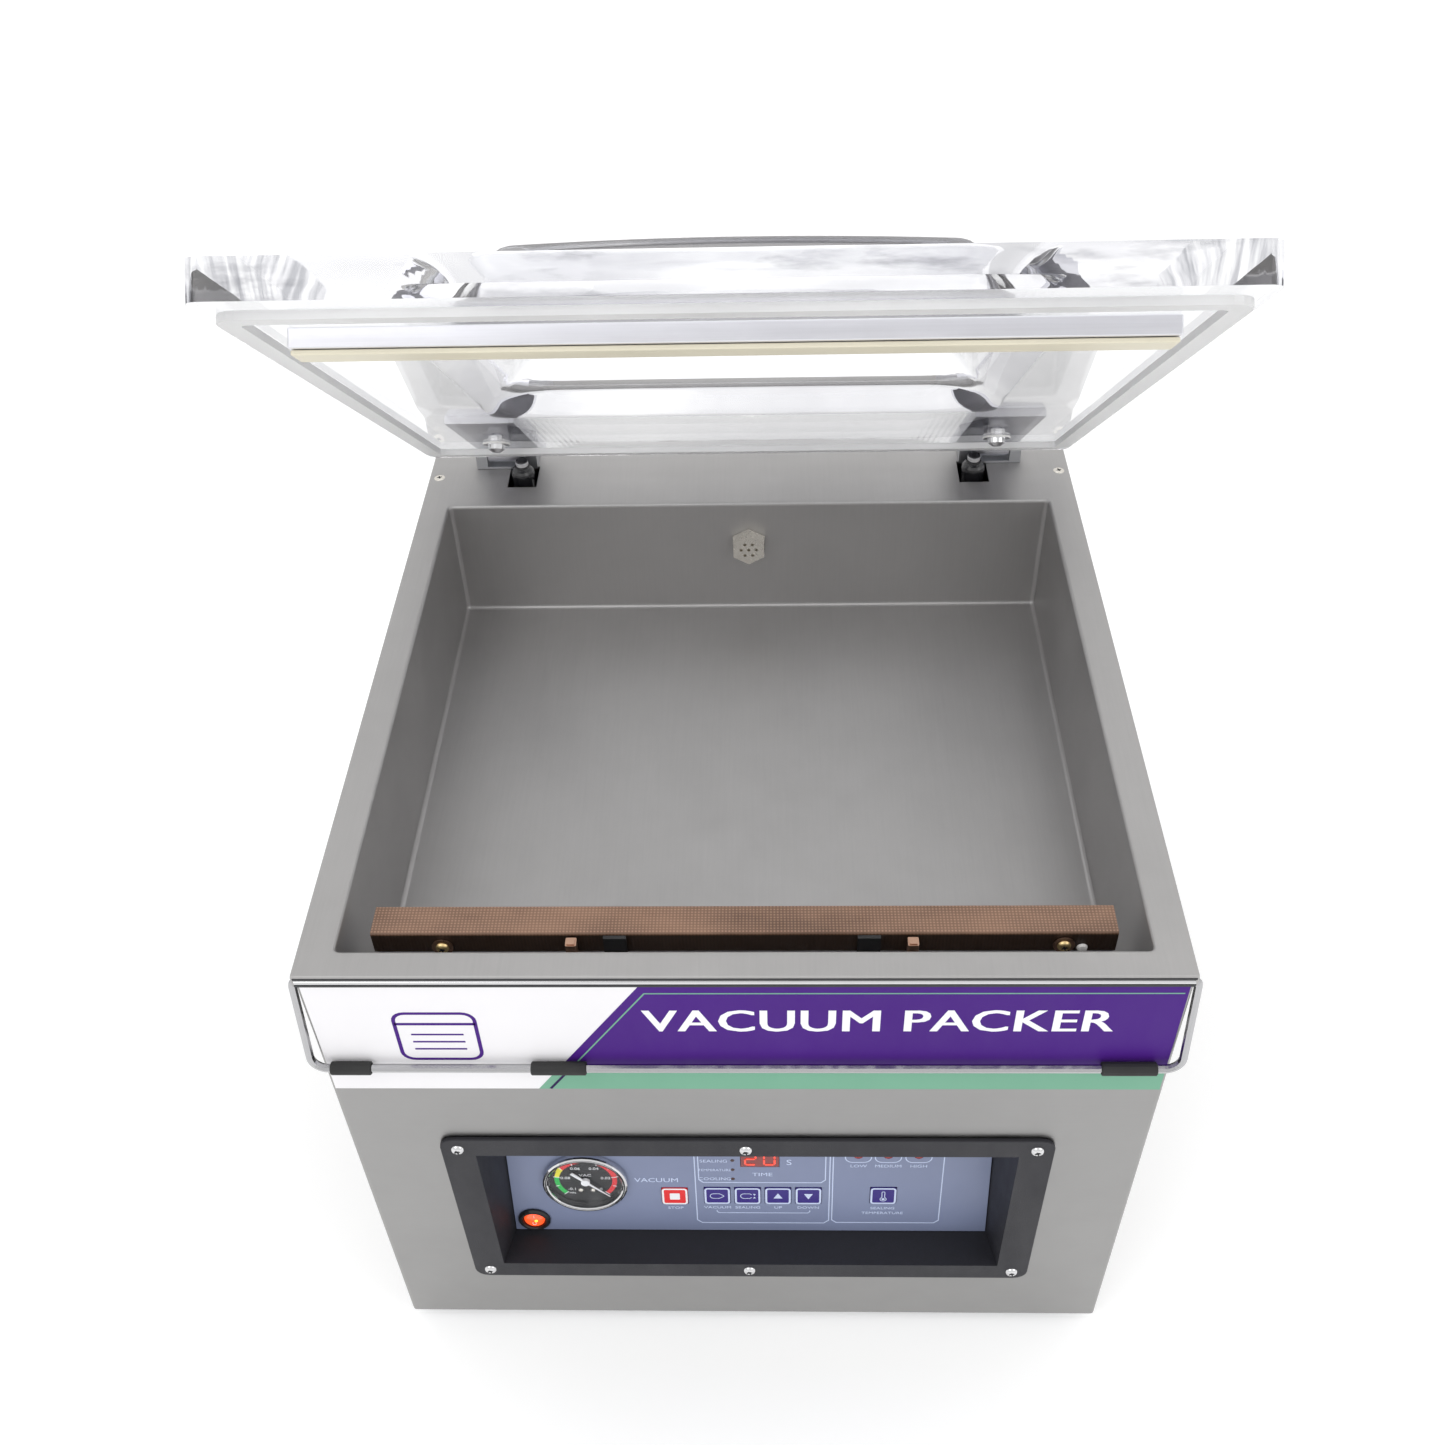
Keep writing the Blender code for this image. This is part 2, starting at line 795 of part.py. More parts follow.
def build_gauge(panel_axis):
    """Round case behind the panel, chromed ring in front, dial, needle and lens."""
    case = [
        (0.0, -0.0010),
        (GAUGE_DIAL, -0.0010),
        (GAUGE_DIAL, 0.0041),
        (GAUGE_DIAL + 0.0008, 0.0047),
        (GAUGE_RING - 0.0016, 0.0047),
        (GAUGE_RING - 0.0004, 0.0040),
        (GAUGE_RING, 0.0028),
        (GAUGE_RING, GAP),
        (GAUGE_BODY, GAP),
        (GAUGE_BODY, -0.0230),
        (0.006, -0.0230),
        (0.006, -0.0330),
        (0.0, -0.0330),
    ]
    turned("gauge_case", case, "chrome", panel_axis, (GAUGE_X, GAUGE_S, 0.0), steps=32)
    lens = [
        (0.0, 0.0042),
        (GAUGE_DIAL - 0.0016, 0.0038),
        (GAUGE_DIAL - GAP, 0.0034),
        (GAUGE_DIAL - GAP, 0.0028),
        (0.0, 0.0028),
    ]
    turned("gauge_lens", lens, "clear_lens", panel_axis, (GAUGE_X, GAUGE_S, 0.0), steps=32)
    hub = cylinder(
        "gauge_needle", (0.0, 0.0, 0.0011), (0, 0, 1), 0.0030, 0.0020, "needle_white", panel_axis, 24
    )
    hub.location = (GAUGE_X, GAUGE_S, 0.0)
    hub.rotation_euler = (0.0, 0.0, NEEDLE_REST)
    blade = plate(
        "join_needle_blade",
        [[(0.0222, 0.00015), (-0.0100, 0.0011), (-0.0128, 0.0011), (-0.0128, -0.0011),
          (-0.0100, -0.0011), (0.0222, -0.00015)]],
        0.0008,
        0.0014,
        None,
        panel_axis,
    )
    blade.location = (GAUGE_X, GAUGE_S, 0.0)
    blade.rotation_euler = (0.0, 0.0, NEEDLE_REST)
    unite(hub, blade)


def build_switch(panel_axis):
    ring = [
        (ROCKER_RADIUS + 0.0008, -0.0160),
        (ROCKER_RADIUS + 0.0008, 0.0020),
        (ROCKER_RADIUS + 0.0014, 0.0028),
        (SWITCH_RADIUS - 0.0012, 0.0028),
        (SWITCH_RADIUS, 0.0016),
        (SWITCH_RADIUS, GAP),
        (0.0095, GAP),
        (0.0095, -0.0160),
        (ROCKER_RADIUS + 0.0008, -0.0160),
    ]
    turned("switch_ring", ring, "switch_black", panel_axis, (SWITCH_X, SWITCH_S, 0.0), steps=24)
    crown = [
        (0.0, 0.0034),
        (0.0035, 0.0031),
        (0.0060, 0.0025),
        (ROCKER_RADIUS, 0.0016),
        (ROCKER_RADIUS, -0.0022),
        (0.0052, -0.0090),
        (0.0, -0.0090),
    ]
    rocker = turned(
        "switch_rocker", crown, "switch_red", panel_axis, (SWITCH_X, SWITCH_S, -0.0010), steps=24
    )
    rocker.rotation_euler = (math.radians(-7.0), 0.0, 0.0)


# ---------------------------------------------------------------- inside the cabinet
def build_vacuum_side(frame):
    port = cylinder(
        "vacuum_port",
        (0.001, TUB_BACK - 0.0045, -0.037),
        (0, -1, 0),
        0.0142,
        0.0084,
        "brass_fitting",
        frame,
        6,
        0.0135,
    )
    stem = cylinder(
        "join_port_stem", (0.001, TUB_BACK + 0.006, -0.037), (0, 1, 0), 0.006, 0.020, None, frame, 24
    )
    unite(port, stem)
    for index in range(7):
        angle = math.radians(60 * index)
        reach = 0.0 if index == 6 else 0.0058
        hole = cylinder(
            "cut_port_strainer_%d" % index,
            (0.001 + reach * math.cos(angle), TUB_BACK - 0.008, -0.037 + reach * math.sin(angle)),
            (0, 1, 0),
            0.0013,
            0.006,
            None,
            frame,
            8,
        )
        subtract(port, hole)
    bend = arc((0.4650, -0.055), 0.018, math.pi / 2, 0.0, 6)
    path = [(0.001, TUB_BACK + 0.0165, -0.037)]
    path += [(0.001, y, z) for y, z in bend]
    path += [(0.001, 0.483, -0.100), (0.004, 0.470, -0.150), (0.015, 0.450, -0.200)]
    path += [(0.040, 0.420, -0.240), (0.072, 0.385, -0.258), (0.092, 0.355, -0.262), (0.095, 0.331, -0.262)]
    tube("vacuum_hose", path, 0.0075, "hose_black", frame, 2)


def build_pump(frame):
    housing = box(
        "pump_housing", (0.045, 0.200, -0.3925), (0.185, 0.352, -0.275), "pump_paint", frame, 0.008
    )
    tank = box("join_pump_tank", (0.060, 0.215, -0.285), (0.130, 0.330, -0.235), None, frame, 0.006)
    unite(housing, tank)
    motor = cylinder(
        "pump_motor", (-0.063, 0.276, -0.325), (1, 0, 0), 0.060, 0.214, "motor_paint", frame, 28
    )
    foot = box("join_motor_foot", (-0.130, 0.236, -0.3925), (0.010, 0.316, -0.350), None, frame)
    unite(motor, foot)
    box("transformer", (-0.215, 0.390, -0.3925), (-0.125, 0.465, -0.310), "transformer_iron", frame, 0.003)
    valve = box("solenoid_valve", (0.090, 0.492, -0.190), (0.130, 0.530, -0.130), "zinc_sheet", frame, 0.003)
    coil = cylinder("join_valve_coil", (0.110, 0.511, -0.115), (0, 0, 1), 0.014, 0.040, None, frame, 20)
    unite(valve, coil)
    box("control_board", (-0.062, 0.056, -0.315), (0.135, 0.0576, -0.195), "board_green", frame)


# ---------------------------------------------------------------- sealing bar
def build_sealing_bar(frame):
    bar = box(
        "seal_bar",
        (-BAR_HALF + 0.001, BAR_FRONT + TAPE_THICK + GAP, BAR_BOTTOM),
        (BAR_HALF - 0.001, BAR_BACK - TAPE_THICK - GAP, BAR_TOP - TAPE_THICK - GAP),
        "aluminium",
        frame,
        0.0012,
        2,
    )
    freeze(bar)
    tape = box(
        "seal_bar_tape",
        (-TAPE_HALF, BAR_FRONT, BAR_TOP - TAPE_SKIRT),
        (TAPE_HALF, BAR_BACK, BAR_TOP),
        "ptfe_tape",
        frame,
    )
    round_edges(
        tape,
        lambda a, b: abs(a.z - BAR_TOP) < 1e-5 and abs(b.z - BAR_TOP) < 1e-5 and abs(a.x - b.x) > 0.1,
        0.0016,
        3,
    )
    under = box(
        "cut_tape_under",
        (-0.30, BAR_FRONT + TAPE_THICK, BAR_TOP - 0.05),
        (0.30, BAR_BACK - TAPE_THICK, BAR_TOP - TAPE_THICK),
        None,
        frame,
        0.0010,
        2,
    )
    subtract(tape, under)
    for name, side in SIDES.items():
        low, high = mirrored(
            side,
            (0.0655, BAR_FRONT - 0.0026, BAR_TOP - TAPE_SKIRT - 0.012),
            (0.0785, BAR_FRONT + TAPE_THICK, BAR_TOP - TAPE_SKIRT - GAP),
        )
        clip = box("bar_clip_" + name, low, high, "clip_black", frame)
        low, high = mirrored(
            side,
            (0.0655, BAR_FRONT - 0.0026, BAR_TOP - 0.020),
            (0.0785, BAR_FRONT - GAP, BAR_TOP - TAPE_SKIRT),
        )
        unite(clip, box("join_clip_tab_" + name, low, high, None, frame))
        low, high = mirrored(
            side,
            (0.0655, BAR_FRONT - 0.0030, BAR_TOP - 0.0190),
            (0.0785, BAR_FRONT - GAP - 0.0003, BAR_TOP - 0.0012),
        )
        unite(clip, box("join_clip_nose_" + name, low, high, None, frame))
        post = [
            (0.0, -0.0090),
            (0.0028, -0.0090),
            (0.0033, -0.0096),
            (0.0033, -0.0260),
            (0.0038, -0.0264),
            (0.0038, -TUB_DEPTH + GAP),
            (0.0, -TUB_DEPTH + GAP),
        ]
        turned("contact_post_" + name, post, "copper", frame, (side * 0.0965, 0.0343, 0.0), steps=20)
        lifter = [
            (0.0, BAR_BOTTOM - 0.0062),
            (0.011, BAR_BOTTOM - 0.0062),
            (0.011, -0.078),
            (0.013, -0.078),
            (0.013, -TUB_DEPTH + GAP),
            (0.006, -TUB_DEPTH + GAP),
            (0.006, -TUB_DEPTH - 0.024),
            (0.0, -TUB_DEPTH - 0.024),
        ]
        turned("bar_lifter_" + name, lifter, "aluminium", frame, (side * 0.150, 0.0495, 0.0), steps=24)


# ---------------------------------------------------------------- lid
def ease(value):
    value = min(max(value, 0.0), 1.0)
    return value * value * (3 - 2 * value)


def dome_rise(x, y):
    """Height of the raised dome above the flat slab; it crowns a little towards its middle."""
    across = abs(x) / DOME_HALF
    middle = (DOME_FRONT + DOME_BACK) / 2
    half = (DOME_BACK - DOME_FRONT) / 2
    along = abs(y - middle) / half
    side = ease((1 - across) * DOME_HALF / DOME_RAMP) * (1 - 0.13 * min(across, 1.0) ** 2)
    ends = ease((1 - along) * half / DOME_RAMP) * (1 - 0.10 * min(along, 1.0) ** 2)
    return DOME_HEIGHT * side * ends


def dome_lines(edge_low, foot_low, foot_high, edge_high, ramp_steps, crown_steps):
    """Grid lines that are close together on the dome's slopes and far apart on the flat rim."""
    lines = [edge_low]
    lines += [foot_low + DOME_RAMP * step / ramp_steps for step in range(ramp_steps + 1)]
    top_low = foot_low + DOME_RAMP
    top_high = foot_high - DOME_RAMP
    lines += [top_low + (top_high - top_low) * step / crown_steps for step in range(1, crown_steps)]
    lines += [foot_high - DOME_RAMP * (1 - step / ramp_steps) for step in range(ramp_steps + 1)]
    lines.append(edge_high)
    return lines


def build_lid(parent, offset):
    xs = dome_lines(-LID_HALF, -DOME_HALF, DOME_HALF, LID_HALF, 6, 5)
    ys = dome_lines(LID_FRONT, DOME_FRONT, DOME_BACK, LID_BACK, 6, 4)
    work = bmesh.new()
    bmesh.ops.create_grid(work, x_segments=len(xs) - 1, y_segments=len(ys) - 1, size=0.5)
    for vertex in work.verts:
        column = round((vertex.co.x + 0.5) * (len(xs) - 1))
        row = round((vertex.co.y + 0.5) * (len(ys) - 1))
        vertex.co.x = xs[column]
        vertex.co.y = ys[row]
        vertex.co.z = LID_BOTTOM + dome_rise(xs[column], ys[row])
    grown = bmesh.ops.extrude_face_region(work, geom=list(work.faces))
    raised = [item for item in grown["geom"] if isinstance(item, bmesh.types.BMVert)]
    bmesh.ops.translate(work, vec=(0.0, 0.0, LID_THICK), verts=raised)
    bmesh.ops.recalc_face_normals(work, faces=work.faces)
    mesh = bpy.data.meshes.new("lid")
    work.to_mesh(mesh)
    work.free()
    lid = place_mesh("lid", mesh, "clear_acrylic", parent, offset)
    round_edges(
        lid,
        lambda a, b: abs(a.z - b.z) > 0.01
        and abs(a.x - b.x) < 1e-5
        and abs(abs(a.x) - LID_HALF) < 1e-4
        and min(abs(a.y - LID_FRONT), abs(a.y - LID_BACK)) < 1e-4,
        LID_CORNER,
        3,
    )
    for name, side in SIDES.items():
        hole = cylinder(
            "cut_lid_bolt_" + name,
            (side * STRAP_X, BOLT_Y, LID_BOTTOM + LID_THICK / 2),
            (0, 0, 1),
            BOLT_HOLE,
            0.06,
            None,
            parent,
            20,
        )
        hole.location = offset
        subtract(lid, hole)
    smooth(lid, 30.0)


def build_lid_trim(parent, offset):
    inner = GASKET_WIDTH
    gasket = plate(
        "lid_gasket",
        [
            rounded_rectangle(
                (-GASKET_HALF, GASKET_FRONT), (GASKET_HALF, GASKET_BACK), GASKET_CORNER, 4
            ),
            rounded_rectangle(
                (inner - GASKET_HALF, GASKET_FRONT + inner),
                (GASKET_HALF - inner, GASKET_BACK - inner),
                0.004,
                4,
            ),
        ],
        GAP,
        LID_BOTTOM - GAP,
        "silicone_white",
        parent,
    )
    gasket.location = offset
    counter = box(
        "counter_bar",
        (-COUNTER_HALF, COUNTER_FRONT, LID_BOTTOM - COUNTER_DROP),
        (COUNTER_HALF, COUNTER_BACK, LID_BOTTOM - GAP),
        "aluminium",
        parent,
        0.0008,
    )
    counter.location = offset
    pad_top = LID_BOTTOM - COUNTER_DROP - GAP
    pad = box(
        "counter_bar_pad",
        (-COUNTER_HALF + 0.001, COUNTER_FRONT + 0.0015, pad_top - PAD_DROP),
        (COUNTER_HALF - 0.001, COUNTER_BACK - 0.0015, pad_top),
        "silicone_cream",
        parent,
        0.0007,
    )
    pad.location = offset


def build_hinges(frame, parent, offset):
    strap_low = LID_BOTTOM + LID_THICK + GAP
    strap_high = strap_low + 0.0065
    for name, side in SIDES.items():
        low, high = mirrored(
            side,
            (STRAP_X - STRAP_HALF, 0.347, strap_low),
            (STRAP_X + STRAP_HALF, HINGE_Y + 0.004, strap_high),
        )
        strap = box("hinge_strap_" + name, low, high, "aluminium", parent)
        strap.location = offset
        eye_middle = side * (EYE_IN + EYE_OUT) / 2
        eye = cylinder(
            "join_hinge_eye_" + name,
            (eye_middle, HINGE_Y, HINGE_Z),
            (1, 0, 0),
            EYE_RADIUS,
            EYE_OUT - EYE_IN,
            None,
            parent,
            32,
        )
        eye.location = offset
        unite(strap, eye)
        low, high = mirrored(
            side,
            (EYE_IN, HINGE_Y - EYE_RADIUS, HINGE_Z),
            (EYE_OUT, HINGE_Y + 0.004, strap_high),
        )
        web = box("join_hinge_web_" + name, low, high, None, parent)
        web.location = offset
        unite(strap, web)
        bore = cylinder(
            "cut_hinge_bore_" + name,
            (eye_middle, HINGE_Y, HINGE_Z),
            (1, 0, 0),
            PIN_RADIUS + GAP,
            0.06,
            None,
            parent,
            24,
        )
        bore.location = offset
        subtract(strap, bore)
        hole = cylinder(
            "cut_strap_bolt_" + name,
            (side * STRAP_X, BOLT_Y, strap_low),
            (0, 0, 1),
            BOLT_HOLE,
            0.04,
            None,
            parent,
            20,
        )
        hole.location = offset
        subtract(strap, hole)
        freeze(strap)
        bevel(strap, 0.0008, 2, 50.0)
        build_lid_bolt(name, side, strap_high, parent)
        build_hinge_bracket(name, side, frame)


def build_lid_bolt(name, side, strap_top, parent):
    """Through bolt: low round head above the strap, washer and dome nut under the lid."""
    head = strap_top + GAP
    washer = LID_BOTTOM - GAP
    profile = [
        (0.0, head + 0.0042),
        (0.0045, head + 0.0038),
        (0.0072, head + 0.0022),
        (0.0078, head),
        (BOLT_RADIUS, head),
        (BOLT_RADIUS, washer),
        (0.0095, washer),
        (0.0095, washer - 0.0014),
        (0.0062, washer - 0.0014),
        (0.0058, washer - 0.0046),
        (0.0030, washer - 0.0066),
        (0.0, washer - 0.0070),
    ]
    bolt = turned(
        "lid_bolt_" + name,
        profile,
        "chrome",
        parent,
        (side * STRAP_X, BOLT_Y - HINGE_Y, -HINGE_Z),
        steps=18,
    )
    return bolt


def build_hinge_bracket(name, side, frame):
    """U bracket on the deck: two round-topped lugs on a thin foot, with a fixed pin through them."""
    lug_in = EYE_IN - 0.0095
    lug_out = EYE_OUT + 0.0095
    low, high = mirrored(side, (lug_in, 0.487, GAP), (lug_out, 0.515, 0.0020))
    bracket = box("hinge_bracket_" + name, low, high, "steel_black", frame)
    for index, (start, end) in enumerate(((lug_in, EYE_IN - 0.0010), (EYE_OUT + 0.0010, lug_out))):
        middle = side * (start + end) / 2
        round_top = cylinder(
            "join_lug_round_%s_%d" % (name, index),
            (middle, HINGE_Y, HINGE_Z),
            (1, 0, 0),
            0.009,
            end - start,
            None,
            frame,
            28,
        )
        unite(bracket, round_top)
        low, high = mirrored(side, (start, 0.487, 0.0010), (end, 0.505, HINGE_Z))
        unite(bracket, box("join_lug_base_%s_%d" % (name, index), low, high, None, frame))
    bore = cylinder(
        "cut_lug_bore_" + name,
        (side * (EYE_IN + EYE_OUT) / 2, HINGE_Y, HINGE_Z),
        (1, 0, 0),
        PIN_RADIUS + GAP,
        0.08,
        None,
        frame,
        24,
    )
    subtract(bracket, bore)
    reach = lug_out - lug_in
    profile = [
        (0.0, reach / 2 + 0.0030),
        (0.0050, reach / 2 + 0.0026),
        (0.0056, reach / 2 + 0.0016),
        (0.0056, reach / 2 + GAP),
        (PIN_RADIUS, reach / 2 + GAP),
        (PIN_RADIUS, -reach / 2 - 0.0016),
        (PIN_RADIUS - 0.0006, -reach / 2 - 0.0022),
        (0.0, -reach / 2 - 0.0022),
    ]
    turned(
        "hinge_pin_" + name,
        profile,
        "chrome",
        frame,
        (side * (lug_in + lug_out) / 2, HINGE_Y, HINGE_Z),
        (0.0, side * math.pi / 2, 0.0),
        steps=18,
    )


# ---------------------------------------------------------------- gas springs
def build_gas_springs(frame):
    box(
        "spring_anchor_bar",
        (-BODY_HALF + SHEET + GAP, SPRING_Y - 0.009, ANCHOR_Z - 0.012),
        (BODY_HALF - SHEET - GAP, SPRING_Y + 0.009, ANCHOR_Z),
        "zinc_sheet",
        frame,
    )
    body = [
        (0.0, FITTING_TOP),
        (0.0044, FITTING_TOP),
        (0.0048, FITTING_TOP - 0.0006),
        (0.0048, SHOULDER_Z + 0.0050),
        (0.0058, SHOULDER_Z + 0.0050),
        (0.0058, SHOULDER_Z + 0.0036),
        (0.0074, SHOULDER_Z + 0.0022),
        (0.0086, SHOULDER_Z + 0.0002),
        (CYLINDER_RADIUS, SHOULDER_Z - 0.0016),
        (CYLINDER_RADIUS, -0.158),
        (0.0070, -0.160),
        (ROD_RADIUS + 0.0006, -0.160),
        (ROD_RADIUS + 0.0006, -0.040),
        (0.0, -0.040),
    ]
    rod = [
        (0.0, -0.062),
        (ROD_RADIUS, -0.062),
        (ROD_RADIUS, ANCHOR_Z + 0.012),
        (0.0070, ANCHOR_Z + 0.011),
        (0.0070, ANCHOR_Z + GAP),
        (0.0, ANCHOR_Z + GAP),
    ]
    for name, side in SIDES.items():
        place = (side * SPRING_X, SPRING_Y, 0.0)
        turned("gas_cylinder_" + name, body, "steel_black", frame, place, steps=20)
        turned("gas_rod_" + name, rod, "chrome", frame, place, steps=16)


# ---------------------------------------------------------------- wire bail
def build_bail(bail_axis):
    """One bent wire: two stub ends in the side sheets, two arms and the front run."""
    inner = BODY_HALF - 0.0065
    top_bend = 0.004
    stub = [(-inner, 0.0, 0.0)]
    left_top = [
        (-x, 0.0, z) for x, z in arc((BAIL_HALF - top_bend, -top_bend), top_bend, math.pi / 2, 0.0, 5)
    ]
    left_low = [
        (-x, 0.0, z)
        for x, z in arc((BAIL_HALF - BAIL_BEND, BAIL_BEND - BAIL_DROP), BAIL_BEND, 0.0, -math.pi / 2, 7)
    ]
    half = stub + left_top + left_low
    other = [(-x, y, z) for x, y, z in reversed(half)]
    middle = [(x, 0.0, -BAIL_DROP) for x in (-0.12, 0.0, 0.12)]
    tube("wire_bail", half + middle + other, BAIL_WIRE, "wire_steel", bail_axis, 2)
    spans = ((-0.2385, -0.2147), (-0.122, -0.090), (0.204, 0.2355))
    for number, (start, end) in enumerate(spans, 1):
        half_run = (end - start) / 2
        ring = [
            (BAIL_WIRE + GAP, -half_run),
            (BAIL_WIRE + GAP, half_run),
            (SLEEVE_RADIUS - 0.0006, half_run),
            (SLEEVE_RADIUS, half_run - 0.0006),
            (SLEEVE_RADIUS, 0.0006 - half_run),
            (SLEEVE_RADIUS - 0.0006, -half_run),
            (BAIL_WIRE + GAP, -half_run),
        ]
        turned(
            "bail_sleeve_%d" % number,
            ring,
            "black_rubber",
            bail_axis,
            ((start + end) / 2, 0.0, -BAIL_DROP),
            (0.0, math.pi / 2, 0.0),
            steps=14,
        )


def main():
    clear_scene()
    make_collection(OBJECT_COLLECTION)
    make_collection(CUTTER_COLLECTION)
    rise = FOOT_HEIGHT - BODY_BOTTOM
    frame = place_empty("machine_frame", None, (0.0, -(FRONT_REACH + BACK_REACH) / 2, rise))
    panel_axis = place_empty(
        "panel_plane", frame, (0.0, PANEL_FOOT, WELL_FLOOR), (math.pi / 2 - PANEL_TILT, 0.0, 0.0)
    )
    lid_axis = place_empty("lid_axis", frame, (0.0, HINGE_Y, HINGE_Z), (-OPEN_ANGLE, 0.0, 0.0))
    bail_axis = place_empty("bail_axis", frame, (0.0, BAIL_Y, BAIL_Z), (-BAIL_TILT, 0.0, 0.0))
    lid_offset = (0.0, -HINGE_Y, -HINGE_Z)
    bpy.context.view_layer.update()
    build_cabinet_shell(frame)
    build_chamber_tub(frame)
    build_base_and_rear(frame)
    build_power_inlet(frame)
    build_feet(frame)
    build_front_label(frame)
    build_bezel(frame)
    build_panel(frame, panel_axis)
    build_keys(panel_axis)
    build_display(panel_axis)
    build_gauge(panel_axis)
    build_switch(panel_axis)
    build_vacuum_side(frame)
    build_pump(frame)
    build_sealing_bar(frame)
    build_lid(lid_axis, lid_offset)
    build_lid_trim(lid_axis, lid_offset)
    build_hinges(frame, lid_axis, lid_offset)
    build_gas_springs(frame)
    build_bail(bail_axis)
    bpy.context.view_layer.update()


main()
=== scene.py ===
"""Looks of the table-top vacuum chamber sealer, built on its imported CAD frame."""

import json
import math

import bmesh
import bpy
from mathutils import Matrix, Vector


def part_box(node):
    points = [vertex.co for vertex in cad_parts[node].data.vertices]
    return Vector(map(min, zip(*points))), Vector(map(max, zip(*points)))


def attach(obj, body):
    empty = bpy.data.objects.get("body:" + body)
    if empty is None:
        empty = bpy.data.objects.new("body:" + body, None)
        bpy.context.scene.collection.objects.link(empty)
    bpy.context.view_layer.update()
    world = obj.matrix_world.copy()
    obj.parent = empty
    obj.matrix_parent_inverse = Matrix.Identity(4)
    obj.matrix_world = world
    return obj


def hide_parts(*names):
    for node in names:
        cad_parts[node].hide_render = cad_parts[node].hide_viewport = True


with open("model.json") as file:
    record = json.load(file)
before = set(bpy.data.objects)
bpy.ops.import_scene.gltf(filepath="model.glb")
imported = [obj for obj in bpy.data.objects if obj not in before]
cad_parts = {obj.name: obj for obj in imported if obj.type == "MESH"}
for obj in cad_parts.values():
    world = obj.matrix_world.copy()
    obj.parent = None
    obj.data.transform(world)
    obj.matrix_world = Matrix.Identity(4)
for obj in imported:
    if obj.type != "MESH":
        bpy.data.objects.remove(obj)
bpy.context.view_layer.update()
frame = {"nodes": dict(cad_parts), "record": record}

# ---------------------------------------------------------------- places read from the frame
SHELL_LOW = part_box("cabinet_shell")[0]
TUB_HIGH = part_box("chamber_tub")[1]
FRONT = SHELL_LOW[1]
DECK = TUB_HIGH[2]
JOINTS = {joint["name"]: joint for joint in frame["record"]["behaviour"]["joints"]}
HINGE = Vector(JOINTS["lid_hinge"]["pos_m"])
OPEN = math.radians(JOINTS["lid_hinge"]["range_deg"][1])
NORMAL = Vector(JOINTS["gauge_needle_turn"]["axis"])
RIGHT = Vector((1.0, 0.0, 0.0))
UP = NORMAL.cross(RIGHT)

# from closed-lid coordinates (Y from the front sheet, Z from the deck) to the open lid in the frame
MACHINE = Matrix.Translation((0.0, FRONT, DECK))
LID = (
    Matrix.Translation(HINGE)
    @ Matrix.Rotation(-OPEN, 4, "X")
    @ Matrix.Translation(-HINGE)
    @ MACHINE
)
GAUGE_X = -0.110
GAUGE_S = 0.056
NEEDLE_LIFT = 0.001
NEEDLE_HUB = Vector(JOINTS["gauge_needle_turn"]["pos_m"])
PANEL_FOOT = NEEDLE_HUB - NORMAL * NEEDLE_LIFT - UP * GAUGE_S - RIGHT * GAUGE_X
PANEL = Matrix.Translation(PANEL_FOOT) @ Matrix((RIGHT, UP, NORMAL)).transposed().to_4x4()
FACE = MACHINE @ Matrix.Rotation(math.radians(90.0), 4, "X")


# ---------------------------------------------------------------- material helpers
class Nodes:
    """A small wrapper that adds and links shader nodes."""

    def __init__(self, name):
        self.material = bpy.data.materials.new(name)
        self.material.use_nodes = True
        self.tree = self.material.node_tree
        self.shader = self.tree.nodes["Principled BSDF"]
        self.place = self.tree.nodes.new("ShaderNodeTexCoord").outputs["Object"]

    def set(self, **values):
        for name, value in values.items():
            self.shader.inputs[name.replace("_", " ")].default_value = value
        return self

    def stretched(self, scale, turn=(0.0, 0.0, 0.0)):
        node = self.tree.nodes.new("ShaderNodeMapping")
        node.inputs["Scale"].default_value = scale
        node.inputs["Rotation"].default_value = turn
        self.tree.links.new(self.place, node.inputs["Vector"])
        return node.outputs["Vector"]

    def noise(self, scale, vector=None, detail=4.0, rough=0.55):
        node = self.tree.nodes.new("ShaderNodeTexNoise")
        node.inputs["Scale"].default_value = scale
        node.inputs["Detail"].default_value = detail
        node.inputs["Roughness"].default_value = rough
        self.tree.links.new(vector or self.place, node.inputs["Vector"])
        return node.outputs["Fac"]

    def ramp(self, value, low, high, start, end):
        node = self.tree.nodes.new("ShaderNodeMapRange")
        node.inputs["From Min"].default_value = low
        node.inputs["From Max"].default_value = high
        node.inputs["To Min"].default_value = start
        node.inputs["To Max"].default_value = end
        self.tree.links.new(value, node.inputs["Value"])
        return node.outputs["Result"]

    def colours(self, value, stops):
        node = self.tree.nodes.new("ShaderNodeValToRGB")
        ramp = node.color_ramp
        while len(ramp.elements) < len(stops):
            ramp.elements.new(0.5)
        for element, (position, colour) in zip(ramp.elements, stops):
            element.position = position
            element.color = (*colour, 1.0)
        self.tree.links.new(value, node.inputs["Fac"])
        return node.outputs["Color"]

    def math(self, kind, first, second):
        node = self.tree.nodes.new("ShaderNodeMath")
        node.operation = kind
        for socket, value in zip(node.inputs, (first, second)):
            if isinstance(value, (int, float)):
                socket.default_value = value
            else:
                self.tree.links.new(value, socket)
        return node.outputs["Value"]

    def link(self, output, name):
        self.tree.links.new(output, self.shader.inputs[name])
        return self

    def bump(self, height, strength, distance=0.0004):
        node = self.tree.nodes.new("ShaderNodeBump")
        node.inputs["Strength"].default_value = strength
        node.inputs["Distance"].default_value = distance
        self.tree.links.new(height, node.inputs["Height"])
        self.tree.links.new(node.outputs["Normal"], self.shader.inputs["Normal"])
        return self


def shade(colour, factor):
    return tuple(min(1.0, part * factor) for part in colour)


